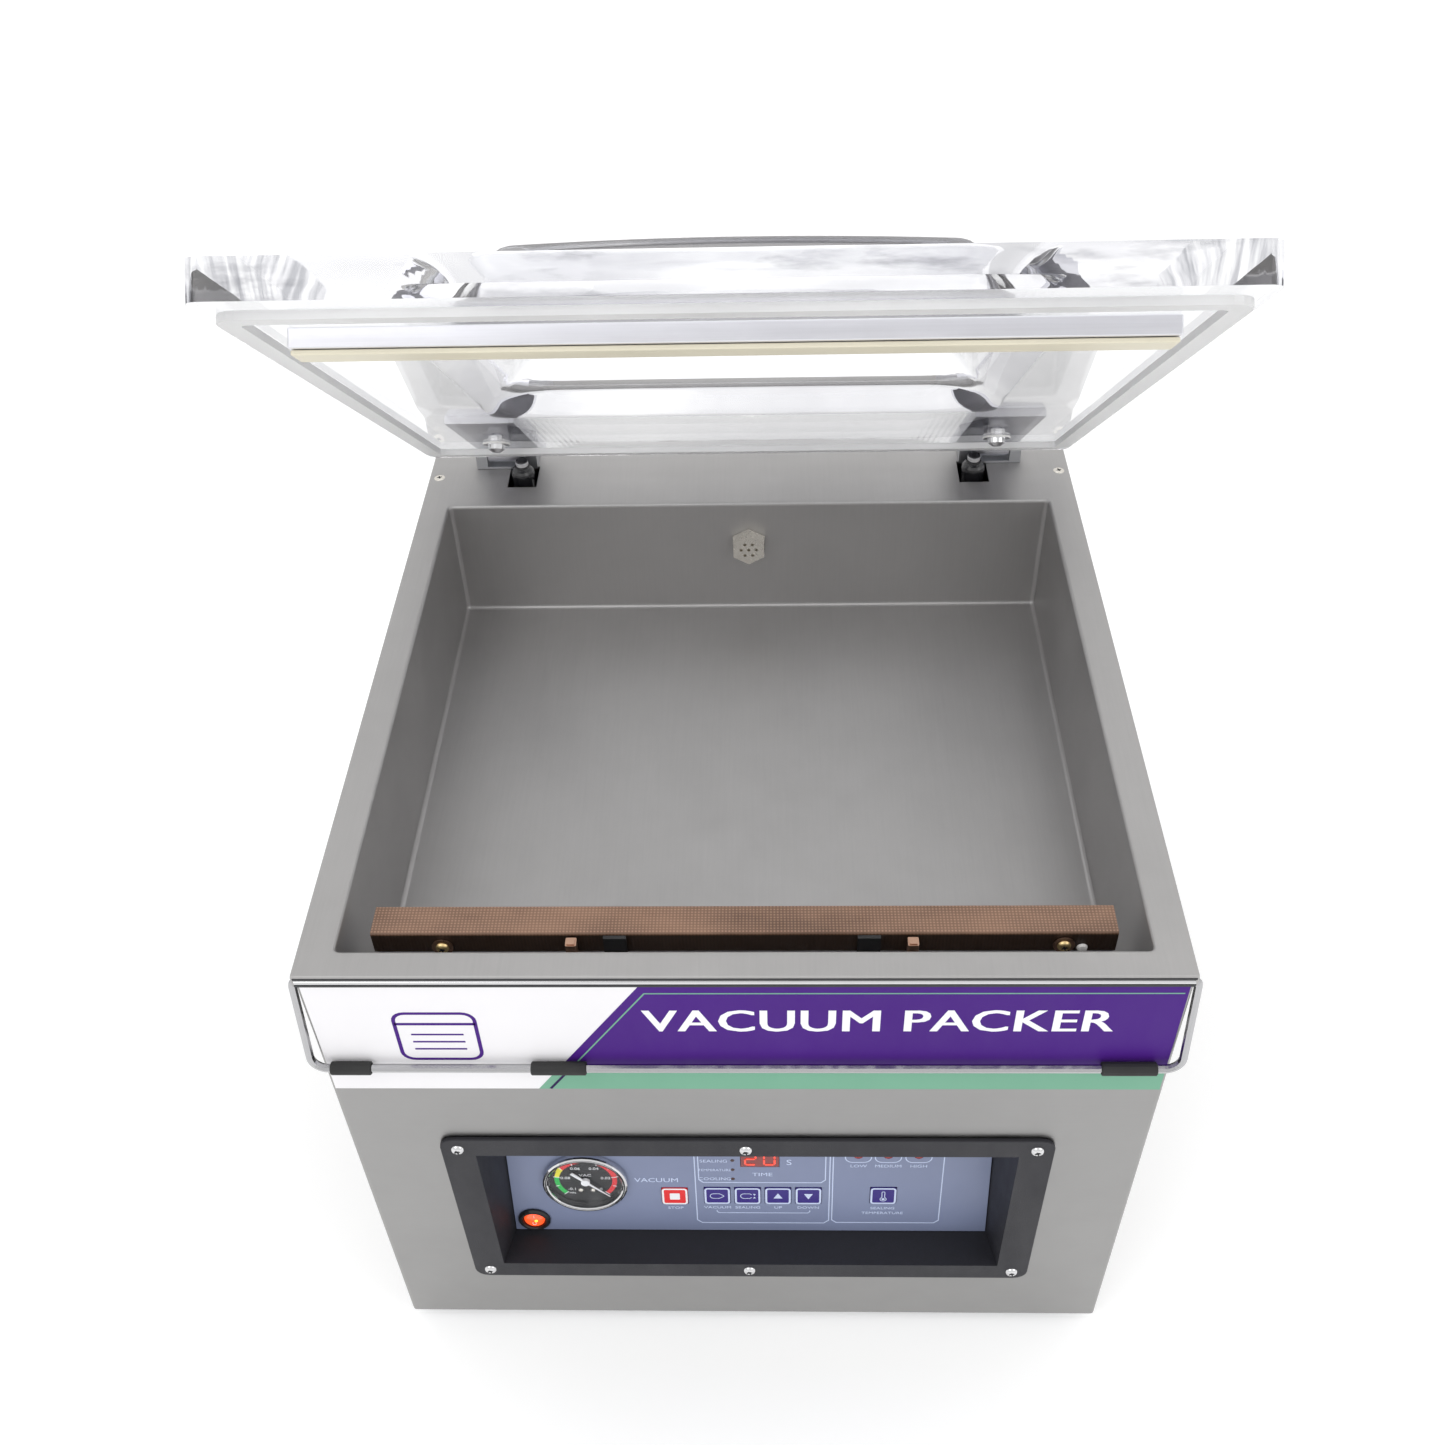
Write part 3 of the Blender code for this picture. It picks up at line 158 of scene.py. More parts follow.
def metal(name, colour, rough, stretch, spread=0.10, wear=0.10, bump=0.06, scale=60.0):
    """Brushed or satin metal: long fine lines one way, cloudy handling marks over them."""
    mat = Nodes(name)
    lines = mat.noise(scale, mat.stretched(stretch), 6.0, 0.65)
    clouds = mat.noise(5.0, None, 4.0, 0.6)
    grime = mat.noise(38.0, None, 5.0, 0.6)
    mixed = mat.math("ADD", mat.math("MULTIPLY", lines, 0.55), mat.math("MULTIPLY", clouds, 0.45))
    mat.link(
        mat.colours(mixed, [(0.30, shade(colour, 1 - wear)), (0.70, shade(colour, 1 + wear * 0.6))]),
        "Base Color",
    )
    rough_value = mat.math(
        "ADD",
        mat.ramp(lines, 0.3, 0.7, rough - spread / 2, rough + spread / 2),
        mat.ramp(grime, 0.4, 0.75, 0.0, spread * 0.5),
    )
    mat.link(rough_value, "Roughness")
    mat.set(Metallic=1.0)
    mat.bump(lines, bump, 0.0003)
    return mat.material


def plastic(
    name, colour, rough, grain=900.0, bump=0.15, variation=0.08, coat=0.0, distance=0.0002, gloss=0.5
):
    """Moulded or painted surface: fine grain, slight tone shifts and fingerprints in the gloss."""
    mat = Nodes(name)
    fine = mat.noise(grain, None, 2.0, 0.5)
    clouds = mat.noise(9.0, None, 4.0, 0.6)
    smears = mat.noise(45.0, mat.stretched((1.0, 1.0, 0.35)), 4.0, 0.6)
    mat.link(
        mat.colours(clouds, [(0.30, shade(colour, 1 - variation)), (0.72, shade(colour, 1 + variation))]),
        "Base Color",
    )
    mat.link(mat.ramp(smears, 0.35, 0.72, rough - 0.05, rough + 0.08), "Roughness")
    mat.set(Coat_Weight=coat, Specular_IOR_Level=gloss)
    mat.bump(fine, bump, distance)
    return mat.material


class ShadeVeins:
    """Cloudy or streaky painted shade on light that crosses a clear block, standing in for light reflected
    inside it: noise scale, stretch, turn and tones.
    """

    def __init__(self, scale, stretch, turn, dark, middle):
        self.scale = scale
        self.stretch = stretch
        self.turn = (0.0, turn, 0.0)
        self.dark = dark
        self.middle = middle


EVEN = (1.0, 1.0, 1.0)
# Painted shade: soft grey clouds for the lid, darker grey streaks for its sawn edges, almost none for the
# gauge glass.
SOFT_SHADE_VEINS = ShadeVeins(5.0, EVEN, 0.0, (0.74, 0.74, 0.76), (0.84, 0.84, 0.86))
EDGE_SHADE_VEINS = ShadeVeins(14.0, (0.8, 1.0, 4.5), 0.5, (0.44, 0.445, 0.47), (0.74, 0.74, 0.76))
NO_VEINS = ShadeVeins(5.0, EVEN, 0.0, (0.98, 0.98, 0.98), (0.99, 0.99, 0.99))


def clear(
    name,
    tint,
    rough,
    ior=1.49,
    bump=0.05,
    scale=14.0,
    stretch=(1.0, 0.6, 1.0),
    depth=2.5,
    shade_veins=SOFT_SHADE_VEINS,
):
    """Clear acrylic or glass with polishing swirls; light trapped inside for long leaves it straight on,
    greyed by painted shade.
    """
    mat = Nodes(name)
    swirl = mat.noise(scale, mat.stretched(stretch), 3.0, 0.5)
    haze = mat.noise(3.0, None, 3.0, 0.5)
    mat.set(Transmission_Weight=1.0, IOR=ior)
    shade_streaks = mat.noise(shade_veins.scale, mat.stretched(shade_veins.stretch, shade_veins.turn), 5.0, 0.6)
    # Painted shade: on the sawn edges the base colour is streaked grey; the saw texture itself is only in the
    # bump.
    if shade_veins is EDGE_SHADE_VEINS:
        body = mat.colours(shade_streaks, [(0.38, shade_veins.dark), (0.47, tint)])
    else:
        body = mat.colours(haze, [(0.3, shade(tint, 0.985)), (0.7, tint)])
    mat.link(body, "Base Color")
    mat.link(mat.ramp(haze, 0.35, 0.7, rough, rough + 0.02), "Roughness")
    mat.bump(swirl, bump, 0.0006)
    tree = mat.tree
    path = tree.nodes.new("ShaderNodeLightPath")
    late = mat.math("GREATER_THAN", path.outputs["Ray Depth"], depth)
    either = mat.math("MAXIMUM", late, path.outputs["Is Shadow Ray"])
    straight = tree.nodes.new("ShaderNodeBsdfTransparent")
    # Painted shade: straight-on light and shadow rays are greyed in clouds and streaks, standing in for light
    # reflected inside the block.
    cloud = mat.colours(shade_streaks, [(0.36, shade_veins.dark), (0.50, shade_veins.middle), (0.62, EVEN)])
    tree.links.new(cloud, straight.inputs["Color"])
    mixer = tree.nodes.new("ShaderNodeMixShader")
    tree.links.new(either, mixer.inputs[0])
    tree.links.new(mat.shader.outputs[0], mixer.inputs[1])
    tree.links.new(straight.outputs[0], mixer.inputs[2])
    tree.links.new(mixer.outputs[0], tree.nodes["Material Output"].inputs["Surface"])
    return mat.material


def glow(name, colour, light, strength):
    """Lit lens: the plastic of the lens with light behind it, uneven across its face."""
    mat = Nodes(name)
    spots = mat.noise(260.0, None, 2.0, 0.5)
    mat.link(mat.colours(spots, [(0.3, shade(colour, 0.8)), (0.7, colour)]), "Base Color")
    mat.link(mat.colours(spots, [(0.3, shade(light, 0.75)), (0.7, light)]), "Emission Color")
    mat.set(Emission_Strength=strength, Roughness=0.2, Coat_Weight=0.5)
    mat.bump(spots, 0.05, 0.0002)
    return mat.material


def weave(name, dark, light, threads, rough, top, bump=0.5):
    """Coated glass cloth: crossing threads under a film, with painted shade darkening the skirt below the
    top.
    """
    mat = Nodes(name)
    waves = []
    for axis in ("X", "Y"):
        node = mat.tree.nodes.new("ShaderNodeTexWave")
        node.wave_type = "BANDS"
        node.bands_direction = axis
        node.inputs["Scale"].default_value = threads
        node.inputs["Distortion"].default_value = 0.4
        mat.tree.links.new(mat.place, node.inputs["Vector"])
        waves.append(node.outputs["Fac"])
    cloth = mat.math("MULTIPLY", waves[0], waves[1])
    stain = mat.noise(26.0, mat.stretched((0.5, 1.0, 1.0)), 5.0, 0.6)
    tone = mat.math("ADD", mat.math("MULTIPLY", cloth, 0.35), mat.math("MULTIPLY", stain, 0.65))
    split = mat.tree.nodes.new("ShaderNodeSeparateXYZ")
    mat.tree.links.new(mat.place, split.inputs["Vector"])
    # Painted shade: the tape darkens from its top down the skirt, the front face that lies in shade, to a
    # near-black lowest stop.
    skirt_shade_ramp = mat.ramp(split.outputs["Z"], top - 0.0022, top - 0.0006, 0.12, 1.0)
    tone_with_skirt_shade = mat.math("MULTIPLY", tone, skirt_shade_ramp)
    mat.link(mat.colours(tone_with_skirt_shade, [(0.05, shade(dark, 0.18)), (0.24, dark), (0.60, light)]), "Base Color")
    mat.link(mat.ramp(stain, 0.3, 0.7, rough - 0.1, rough + 0.1), "Roughness")
    mat.bump(cloth, bump, 0.0002)
    return mat.material


def silicone(name, colour, through):
    """Soft moulded silicone with a fine grain; part of the light goes through it."""
    mat = Nodes(name)
    grain = mat.noise(500.0, None, 2.0, 0.5)
    clouds = mat.noise(18.0, None, 4.0, 0.6)
    mat.link(mat.colours(clouds, [(0.3, shade(colour, 0.93)), (0.7, colour)]), "Base Color")
    mat.link(mat.ramp(clouds, 0.3, 0.7, 0.35, 0.5), "Roughness")
    mat.set(Transmission_Weight=through, IOR=1.42)
    mat.bump(grain, 0.1, 0.0002)
    return mat.material


TAPE_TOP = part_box("seal_bar_tape")[1][2]
STEEL = (0.335, 0.331, 0.327)
M = {
    "sheet": metal("brushed_sheet_steel", STEEL, 0.36, (1.0, 1.0, 60.0), 0.12, 0.08, 0.05, 14.0),
    "tub": metal(
        "satin_chamber_steel", (0.445, 0.437, 0.433), 0.50, (30.0, 1.0, 1.0), 0.10, 0.10, 0.05, 18.0
    ),
    "zinc": metal("zinc_plate", (0.55, 0.56, 0.58), 0.42, (1.0, 1.0, 1.0), 0.2, 0.2, 0.05, 60.0),
    "alu": metal("satin_aluminium", (0.80, 0.80, 0.84), 0.34, (0.6, 60.0, 60.0), 0.12, 0.06, 0.05, 20.0),
    "chrome": metal("polished_chrome", (0.66, 0.66, 0.67), 0.12, (1.0, 1.0, 1.0), 0.05, 0.03, 0.01, 80.0),
    "brass": metal("worn_brass", (0.78, 0.60, 0.30), 0.30, (1.0, 1.0, 1.0), 0.2, 0.2, 0.05, 90.0),
    "copper": metal("bare_copper", (0.46, 0.29, 0.21), 0.34, (1.0, 1.0, 8.0), 0.2, 0.2, 0.05, 90.0),
    "nickel": metal("nickel_fitting", (0.74, 0.71, 0.65), 0.24, (1.0, 1.0, 1.0), 0.12, 0.12, 0.03, 90.0),
    "wire": metal("bright_wire", (0.46, 0.46, 0.47), 0.16, (8.0, 40.0, 40.0), 0.1, 0.08, 0.02, 60.0),
    "weld": metal("weld_bead_steel", (0.62, 0.60, 0.57), 0.30, (1.0, 1.0, 1.0), 0.2, 0.25, 0.4, 240.0),
    "black_metal": plastic("gloss_black_paint", (0.012, 0.012, 0.014), 0.22, 500.0, 0.05, 0.2, 0.4),
    "rubber": plastic("black_rubber", (0.018, 0.018, 0.018), 0.72, 700.0, 0.3, 0.2),
    "hose": plastic("hose_rubber", (0.03, 0.03, 0.03), 0.65, 400.0, 0.3, 0.2),
    "bezel": plastic("textured_bezel", (0.019, 0.019, 0.024), 0.55, 1400.0, 0.45, 0.10, 0.0, 0.0004, 0.35),
    "film": plastic("panel_film", (0.205, 0.240, 0.370), 0.40, 1500.0, 0.12, 0.05),
    "navy": plastic("navy_key_film", (0.022, 0.006, 0.185), 0.36, 1500.0, 0.15, 0.10),
    "red": plastic("red_key_film", (0.78, 0.012, 0.016), 0.36, 1500.0, 0.15, 0.08),
    "pale": plastic("pale_print", (0.58, 0.66, 0.86), 0.42, 1200.0, 0.05, 0.04),
    "white": plastic("white_print", (0.86, 0.87, 0.90), 0.40, 1200.0, 0.05, 0.03),
    "label_white": plastic("label_white_film", (0.82, 0.81, 0.83), 0.45, 1200.0, 0.04, 0.02),
    "purple": plastic("label_purple_film", (0.060, 0.010, 0.200), 0.50, 1200.0, 0.04, 0.05, gloss=0.15),
    "purple_dark": plastic("label_dark_purple", (0.020, 0.004, 0.070), 0.50, 1200.0, 0.04, 0.05, gloss=0.15),
    "green": plastic("label_green_film", (0.170, 0.390, 0.270), 0.45, 1200.0, 0.04, 0.04, gloss=0.2),
    "dial": plastic("dial_black", (0.012, 0.013, 0.016), 0.45, 900.0, 0.05, 0.15),
    "dial_red": plastic("dial_red", (0.80, 0.04, 0.05), 0.45, 900.0, 0.05, 0.06),
    "dial_yellow": plastic("dial_yellow", (0.85, 0.80, 0.05), 0.45, 900.0, 0.05, 0.06),
    "dial_green": plastic("dial_green", (0.02, 0.52, 0.09), 0.45, 900.0, 0.05, 0.06),
    "switch": plastic("switch_black", (0.010, 0.010, 0.011), 0.38, 900.0, 0.15, 0.15),
    "clip": plastic("clip_black", (0.012, 0.012, 0.013), 0.45, 900.0, 0.2, 0.15),
    "acrylic": clear("clear_acrylic", (0.985, 0.99, 1.0), 0.0),
    "acrylic_edge": clear(
        "cut_acrylic_edge",
        (0.97, 0.975, 0.99),
        0.02,
        bump=0.6,
        scale=26.0,
        stretch=(0.55, 1.0, 1.3),
        depth=1.5,
        shade_veins=EDGE_SHADE_VEINS,
    ),
    "washer": plastic("white_nylon", (0.80, 0.79, 0.77), 0.4, 700.0, 0.1, 0.04),
    "lens": clear(
        "gauge_glass", (0.99, 0.995, 1.0), 0.0, ior=1.12, bump=0.0, stretch=EVEN, depth=1.5, shade_veins=NO_VEINS
    ),
    "gasket": silicone("white_silicone", (0.90, 0.90, 0.90), 0.35),
    "pad": silicone("cream_silicone", (0.78, 0.73, 0.58), 0.0),
    "tape": weave("ptfe_glass_tape", (0.130, 0.068, 0.040), (0.350, 0.205, 0.135), 160.0, 0.42, TAPE_TOP),
    "rocker": glow("lit_red_lens", (0.90, 0.06, 0.02), (1.0, 0.10, 0.02), 1.3),
    "rocker_spot": glow("lamp_spot", (1.0, 0.5, 0.05), (1.0, 0.42, 0.03), 3.0),
    "lit": glow("lit_segment", (1.0, 0.05, 0.02), (1.0, 0.05, 0.015), 0.9),
    "unlit": plastic("dark_led", (0.045, 0.012, 0.008), 0.25, 900.0, 0.05, 0.1, 0.5),
    "led_red": plastic("red_led", (0.28, 0.012, 0.008), 0.25, 900.0, 0.05, 0.1, 0.5),
    "display": plastic("display_window", (0.200, 0.010, 0.008), 0.16, 900.0, 0.02, 0.1, 0.6),
    "pump": plastic("pump_paint", (0.10, 0.14, 0.18), 0.45, 300.0, 0.2, 0.12),
    "iron": plastic("varnished_iron", (0.14, 0.12, 0.10), 0.5, 300.0, 0.3, 0.2),
    "board": plastic("circuit_board", (0.01, 0.10, 0.04), 0.4, 300.0, 0.1, 0.15),
}

NODE_LOOKS = {
    "sheet": ["cabinet_shell", "rear_panel"],
    "tub": ["chamber_tub"],
    "zinc": ["hinge_bracket_left", "hinge_bracket_right", "base_plate", "spring_anchor_bar"]
    + ["solenoid_valve"],
    "alu": ["counter_bar", "seal_bar", "bar_lifter_left", "bar_lifter_right"]
    + ["hinge_strap_left", "hinge_strap_right"],
    "chrome": ["gas_rod_left", "gas_rod_right", "hinge_pin_left", "hinge_pin_right"]
    + ["lid_bolt_left", "lid_bolt_right", "gauge_case"],
    "copper": ["contact_post_left", "contact_post_right"],
    "nickel": ["vacuum_port"],
    "wire": ["wire_bail"],
    "black_metal": ["gas_cylinder_left", "gas_cylinder_right"],
    "rubber": ["foot_1", "foot_2", "foot_3", "foot_4", "bail_sleeve_1", "bail_sleeve_2", "bail_sleeve_3"],
    "hose": ["vacuum_hose"],
    "bezel": ["control_bezel"],
    "film": ["control_panel"],
    "label_white": ["front_label"],
    "navy": ["vacuum_key", "sealing_key", "up_key", "down_key", "temperature_key"],
    "red": ["stop_key"],
    "switch": ["switch_ring", "power_inlet"],
    "clip": ["bar_clip_left", "bar_clip_right"],
    "white": ["gauge_needle"],
    "lens": ["gauge_lens"],
    "acrylic": ["lid"],
    "gasket": ["lid_gasket"],
    "pad": ["counter_bar_pad"],
    "tape": ["seal_bar_tape"],
    "rocker": ["switch_rocker"],
    "display": ["time_display"],
    "pump": ["pump_housing", "pump_motor"],
    "iron": ["transformer"],
    "board": ["control_board"],
}
for look, nodes in NODE_LOOKS.items():
    for node in nodes:
        obj = frame["nodes"][node]
        obj.material_slots[0].material = M[look]


# ---------------------------------------------------------------- piece helpers
def finish_piece(name, work, looks, matrix, body, smooth_angle=35.0):
    """Turns the built shape into one named piece that rides on a body."""
    mesh = bpy.data.meshes.new(name)
    work.to_mesh(mesh)
    work.free()
    mesh.transform(matrix)
    for look in looks:
        mesh.materials.append(M[look])
    obj = bpy.data.objects.new(name, mesh)
    bpy.context.scene.collection.objects.link(obj)
    if smooth_angle:
        mesh.shade_smooth()
        mesh.set_sharp_from_angle(angle=math.radians(smooth_angle))
    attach(obj, body)
    return obj


def add_prism(work, outline, low, high, look=0):
    """A closed prism over a flat outline given anticlockwise."""
    bottom = [work.verts.new((x, y, low)) for x, y in outline]
    top = [work.verts.new((x, y, high)) for x, y in outline]
    faces = [work.faces.new(top), work.faces.new(list(reversed(bottom)))]
    count = len(outline)
    for index in range(count):
        after = (index + 1) % count
        faces.append(work.faces.new((bottom[index], bottom[after], top[after], top[index])))
    for face in faces:
        face.material_index = look
    return faces


def add_band(work, path, width, low, high, look=0, closed=False):
    """A flat printed line of the given width along a path."""
    points = [Vector((*point, 0.0)) for point in path]
    count = len(points)
    sides = []
    for index, point in enumerate(points):
        before = points[index - 1] if closed or index else point
        after = points[(index + 1) % count] if closed or index < count - 1 else point
        first = (point - before).normalized() if (point - before).length else (after - point).normalized()
        second = (after - point).normalized() if (after - point).length else first
        way = (first + second).normalized()
        across = Vector((-way.y, way.x, 0.0))
        stretch = 1.0 / max(0.5, across.dot(Vector((-first.y, first.x, 0.0))))
        sides.append((point + across * width / 2 * stretch, point - across * width / 2 * stretch))
    rings = []
    for left, right in sides:
        rings.append(
            [
                work.verts.new((right.x, right.y, low)),
                work.verts.new((right.x, right.y, high)),
                work.verts.new((left.x, left.y, high)),
                work.verts.new((left.x, left.y, low)),
            ]
        )
    spans = count if closed else count - 1
    faces = []
    for index in range(spans):
        here = rings[index]
        there = rings[(index + 1) % count]
        for corner in range(4):
            other = (corner + 1) % 4
            faces.append(work.faces.new((here[corner], there[corner], there[other], here[other])))
    if not closed:
        faces.append(work.faces.new(rings[0]))
        faces.append(work.faces.new(list(reversed(rings[-1]))))
    for face in faces:
        face.material_index = look


def arc(centre, radius, start, end, count):
    """Points along an arc, both ends included."""
    return [
        (
            centre[0] + radius * math.cos(start + (end - start) * step / count),
            centre[1] + radius * math.sin(start + (end - start) * step / count),
        )
        for step in range(count + 1)
    ]


def rounded(low, high, radius, count=5):
    """Anticlockwise outline of a rectangle with rounded corners."""
    quarter = math.pi / 2
    points = arc((high[0] - radius, high[1] - radius), radius, 0.0, quarter, count)
    points += arc((low[0] + radius, high[1] - radius), radius, quarter, 2 * quarter, count)
    points += arc((low[0] + radius, low[1] + radius), radius, 2 * quarter, 3 * quarter, count)
    points += arc((high[0] - radius, low[1] + radius), radius, 3 * quarter, 4 * quarter, count)
    return points


def add_words(work, words, centre, size, low, high, look=0, width=1.0, spacing=1.0):
    """Plain built-in lettering as a thin raised print, centred on a point."""
    curve = bpy.data.curves.new("words", "FONT")
    curve.body = words
    curve.size = size
    curve.align_x = "CENTER"
    curve.align_y = "CENTER"
    curve.extrude = (high - low) / 2
    curve.resolution_u = 3
    curve.space_character = spacing
    guide = bpy.data.objects.new("words", curve)
    bpy.context.scene.collection.objects.link(guide)
    bpy.context.view_layer.update()
    graph = bpy.context.evaluated_depsgraph_get()
    mesh = bpy.data.meshes.new_from_object(guide.evaluated_get(graph))
    mesh.transform(
        Matrix.Translation((centre[0], centre[1], (high + low) / 2)) @ Matrix.Diagonal((width, 1.0, 1.0, 1.0))
    )
    before = set(work.faces)
    work.from_mesh(mesh)
    for face in work.faces:
        if face not in before:
            face.material_index = look
    bpy.data.objects.remove(guide, do_unlink=True)
    bpy.data.meshes.remove(mesh)


def add_turned(work, profile, matrix, steps=32, look=0):
    """A turned ring or solid about local Z; profile points are (radius, height)."""
    rings = []
    for radius, height in profile:
        if radius < 1e-7:
            rings.append([work.verts.new(matrix @ Vector((0.0, 0.0, height)))])
            continue
        ring = []
        for step in range(steps):
            angle = 2 * math.pi * step / steps
            ring.append(
                work.verts.new(
                    matrix @ Vector((radius * math.cos(angle), radius * math.sin(angle), height))
                )
            )
        rings.append(ring)
    for upper, lower in zip(rings, rings[1:]):
        for step in range(steps):
            after = (step + 1) % steps
            loop = [upper[step % len(upper)], lower[step % len(lower)], lower[after % len(lower)]]
            loop.append(upper[after % len(upper)])
            unique = list(dict.fromkeys(loop))
            if len(unique) >= 3:
                work.faces.new(unique).material_index = look


def add_box(work, low, high, look=0):
    return add_prism(
        work,
        [(low[0], low[1]), (high[0], low[1]), (high[0], high[1]), (low[0], high[1])],
        low[2],
        high[2],
        look,
    )


def cross_screw(work, matrix, radius, height, look=0, recess_shade_look=None):
    """Pan head screw whose cross recess is shown as two black crossing bars of painted shade."""
    profile = [
        (0.0, height * 0.62),
        (radius * 0.16, height * 0.66),
        (radius * 0.42, height * 0.97),
        (radius * 0.70, height * 0.84),
        (radius * 0.93, height * 0.42),
        (radius, 0.0),
        (0.0, 0.0),
    ]
    add_turned(work, profile, matrix, 24, look)
    # Painted shade: the black bars stand in for the shade inside the cross recess.
    for turn in (0.35, 0.35 + math.pi / 2):
        arm = matrix @ Matrix.Rotation(turn, 4, "Z")
        half = radius * 0.46
        wide = radius * 0.10
        corners = [(-half, -wide), (half, -wide), (half, wide), (-half, wide)]
        low = [work.verts.new(arm @ Vector((x, y, height * 0.80))) for x, y in corners]
        high = [work.verts.new(arm @ Vector((x, y, height * 1.005))) for x, y in corners]
        faces = [work.faces.new(high), work.faces.new(list(reversed(low)))]
        for index in range(4):
            after = (index + 1) % 4
            faces.append(work.faces.new((low[index], low[after], high[after], high[index])))
        for face in faces:
            face.material_index = recess_shade_look if recess_shade_look is not None else look


# ---------------------------------------------------------------- camera, light, floor
CAMERA_PLACE = (0.0184, -0.4984, 0.6583)
CAMERA_YAW = math.radians(-2.62)
CAMERA_PITCH = math.radians(43.35)
CAMERA_ROLL = math.radians(-2.18)
CAMERA_LENS = 37.6
FLOOR_HALF = 6.0
SKY = 0.98
LIGHTS = (
    ("key", (-1.1, -1.3, 2.1), 1.3, 9.0),
    ("fill", (1.5, -0.9, 1.5), 1.2, 5.0),
    ("top", (0.1, 0.7, 2.3), 1.6, 3.0),
)
LIGHT_TARGET = Vector((0.0, 0.0, 0.35))


def build_camera():
    yaw, pitch, roll = CAMERA_YAW, CAMERA_PITCH, CAMERA_ROLL
    ahead = Vector((math.sin(yaw) * math.cos(pitch), math.cos(yaw) * math.cos(pitch), -math.sin(pitch)))
    across = Vector((math.cos(yaw), -math.sin(yaw), 0.0))
    above = across.cross(ahead)
    turned_across = across * math.cos(roll) + above * math.sin(roll)
    turned_above = above * math.cos(roll) - across * math.sin(roll)
    camera = bpy.data.cameras.new("camera")
    camera.lens = CAMERA_LENS
    camera.sensor_width = 36.0
    camera.clip_start = 0.05
    holder = bpy.data.objects.new("camera", camera)
    bpy.context.scene.collection.objects.link(holder)
    basis = Matrix((turned_across, turned_above, -ahead)).transposed().to_4x4()
    holder.matrix_world = Matrix.Translation(MACHINE @ Vector(CAMERA_PLACE)) @ basis
    bpy.context.scene.camera = holder


def build_floor():
    work = bmesh.new()
    bmesh.ops.create_grid(work, x_segments=2, y_segments=2, size=FLOOR_HALF)
    mesh = bpy.data.meshes.new("floor")
    work.to_mesh(mesh)
    work.free()
    floor = bpy.data.objects.new("floor", mesh)
    bpy.context.scene.collection.objects.link(floor)
    mat = Nodes("pale_floor")
    mat.link(
        mat.colours(mat.noise(2.0, None, 3.0, 0.5), [(0.3, (0.93, 0.93, 0.93)), (0.7, (0.96, 0.96, 0.96))]),
        "Base Color",
    )
    mat.set(Roughness=0.9, Emission_Color=(1.0, 1.0, 1.0, 1.0), Emission_Strength=0.16)
    mesh.materials.append(mat.material)


def build_lights():
    world = bpy.data.worlds.new("studio")
    world.use_nodes = True
    world.node_tree.nodes["Background"].inputs["Color"].default_value = (1.0, 1.0, 1.0, 1.0)
    world.node_tree.nodes["Background"].inputs["Strength"].default_value = SKY
    bpy.context.scene.world = world
    for name, place, size, power in LIGHTS:
        light = bpy.data.lights.new(name, "AREA")
        light.shape = "SQUARE"
        light.size = size
        light.energy = power
        lamp = bpy.data.objects.new(name, light)
        bpy.context.scene.collection.objects.link(lamp)
        lamp.location = place
        lamp.rotation_euler = (LIGHT_TARGET - Vector(place)).to_track_quat("-Z", "Y").to_euler()
    bpy.context.scene.view_settings.view_transform = "Standard"


# ---------------------------------------------------------------- front label
LABEL_HALF = 0.2425
LABEL_TOP = -0.0094
LABEL_BOTTOM = -0.1086
LABEL_FACE = 0.0009


def slant(z, shift=0.0):
    """X of the slanted edge between the white and the purple field at a height."""
    return -0.056 - 0.065 * (LABEL_TOP - z) / (LABEL_TOP - LABEL_BOTTOM) + shift


def build_label():
    """White field, purple field with a slanted edge, green strip and fine lines, on one film."""
    low, high = LABEL_FACE, LABEL_FACE + 0.00012
    line = high + 0.00008
    strip = -0.0900
    work = bmesh.new()
    edge = LABEL_HALF
    add_prism(
        work,
        [(slant(strip), strip), (edge, strip), (edge, LABEL_TOP), (slant(LABEL_TOP), LABEL_TOP)],
        low,
        high,
        0,
    )
    add_prism(
        work,
        [(slant(LABEL_BOTTOM), LABEL_BOTTOM), (edge, LABEL_BOTTOM), (edge, strip), (slant(strip), strip)],
        low,
        high,
        1,
    )
    inset = -0.0156
    add_band(
        work,
        [(edge - 0.002, inset), (slant(inset, 0.007), inset), (slant(strip, 0.007), strip)],
        0.0009,
        high,
        line,
        1,
    )
    add_band(
        work,
        [(slant(strip, 0.007), strip), (slant(LABEL_BOTTOM, 0.007), LABEL_BOTTOM + 0.0003)],
        0.0016,
        high,
        line,
        2,
    )
    finish_piece("label_fields", work, ["purple", "green", "purple_dark"], FACE, "cabinet")

    work = bmesh.new()
    for step in range(3):
        shift, lift = 0.0006 * (step - 1), 0.00001 * step
        add_words(work, "VACUUM PACKER", (0.0755 + shift, -0.0420), 0.0285, high, line + lift, 0, 1.10, 1.04)
    pouch = rounded((-0.196, -0.078), (-0.150, -0.034), 0.007, 5)
    add_band(work, pouch, 0.0022, low, high, 1, True)
    add_band(work, [(-0.196, -0.044), (-0.150, -0.044)], 0.0022, low, high, 1)
    for step in range(3):
        y = -0.054 - 0.007 * step
        add_band(work, [(-0.188, y), (-0.158, y)], 0.0014, low, high, 1)
    finish_piece("label_print", work, ["white", "purple"], FACE, "cabinet")


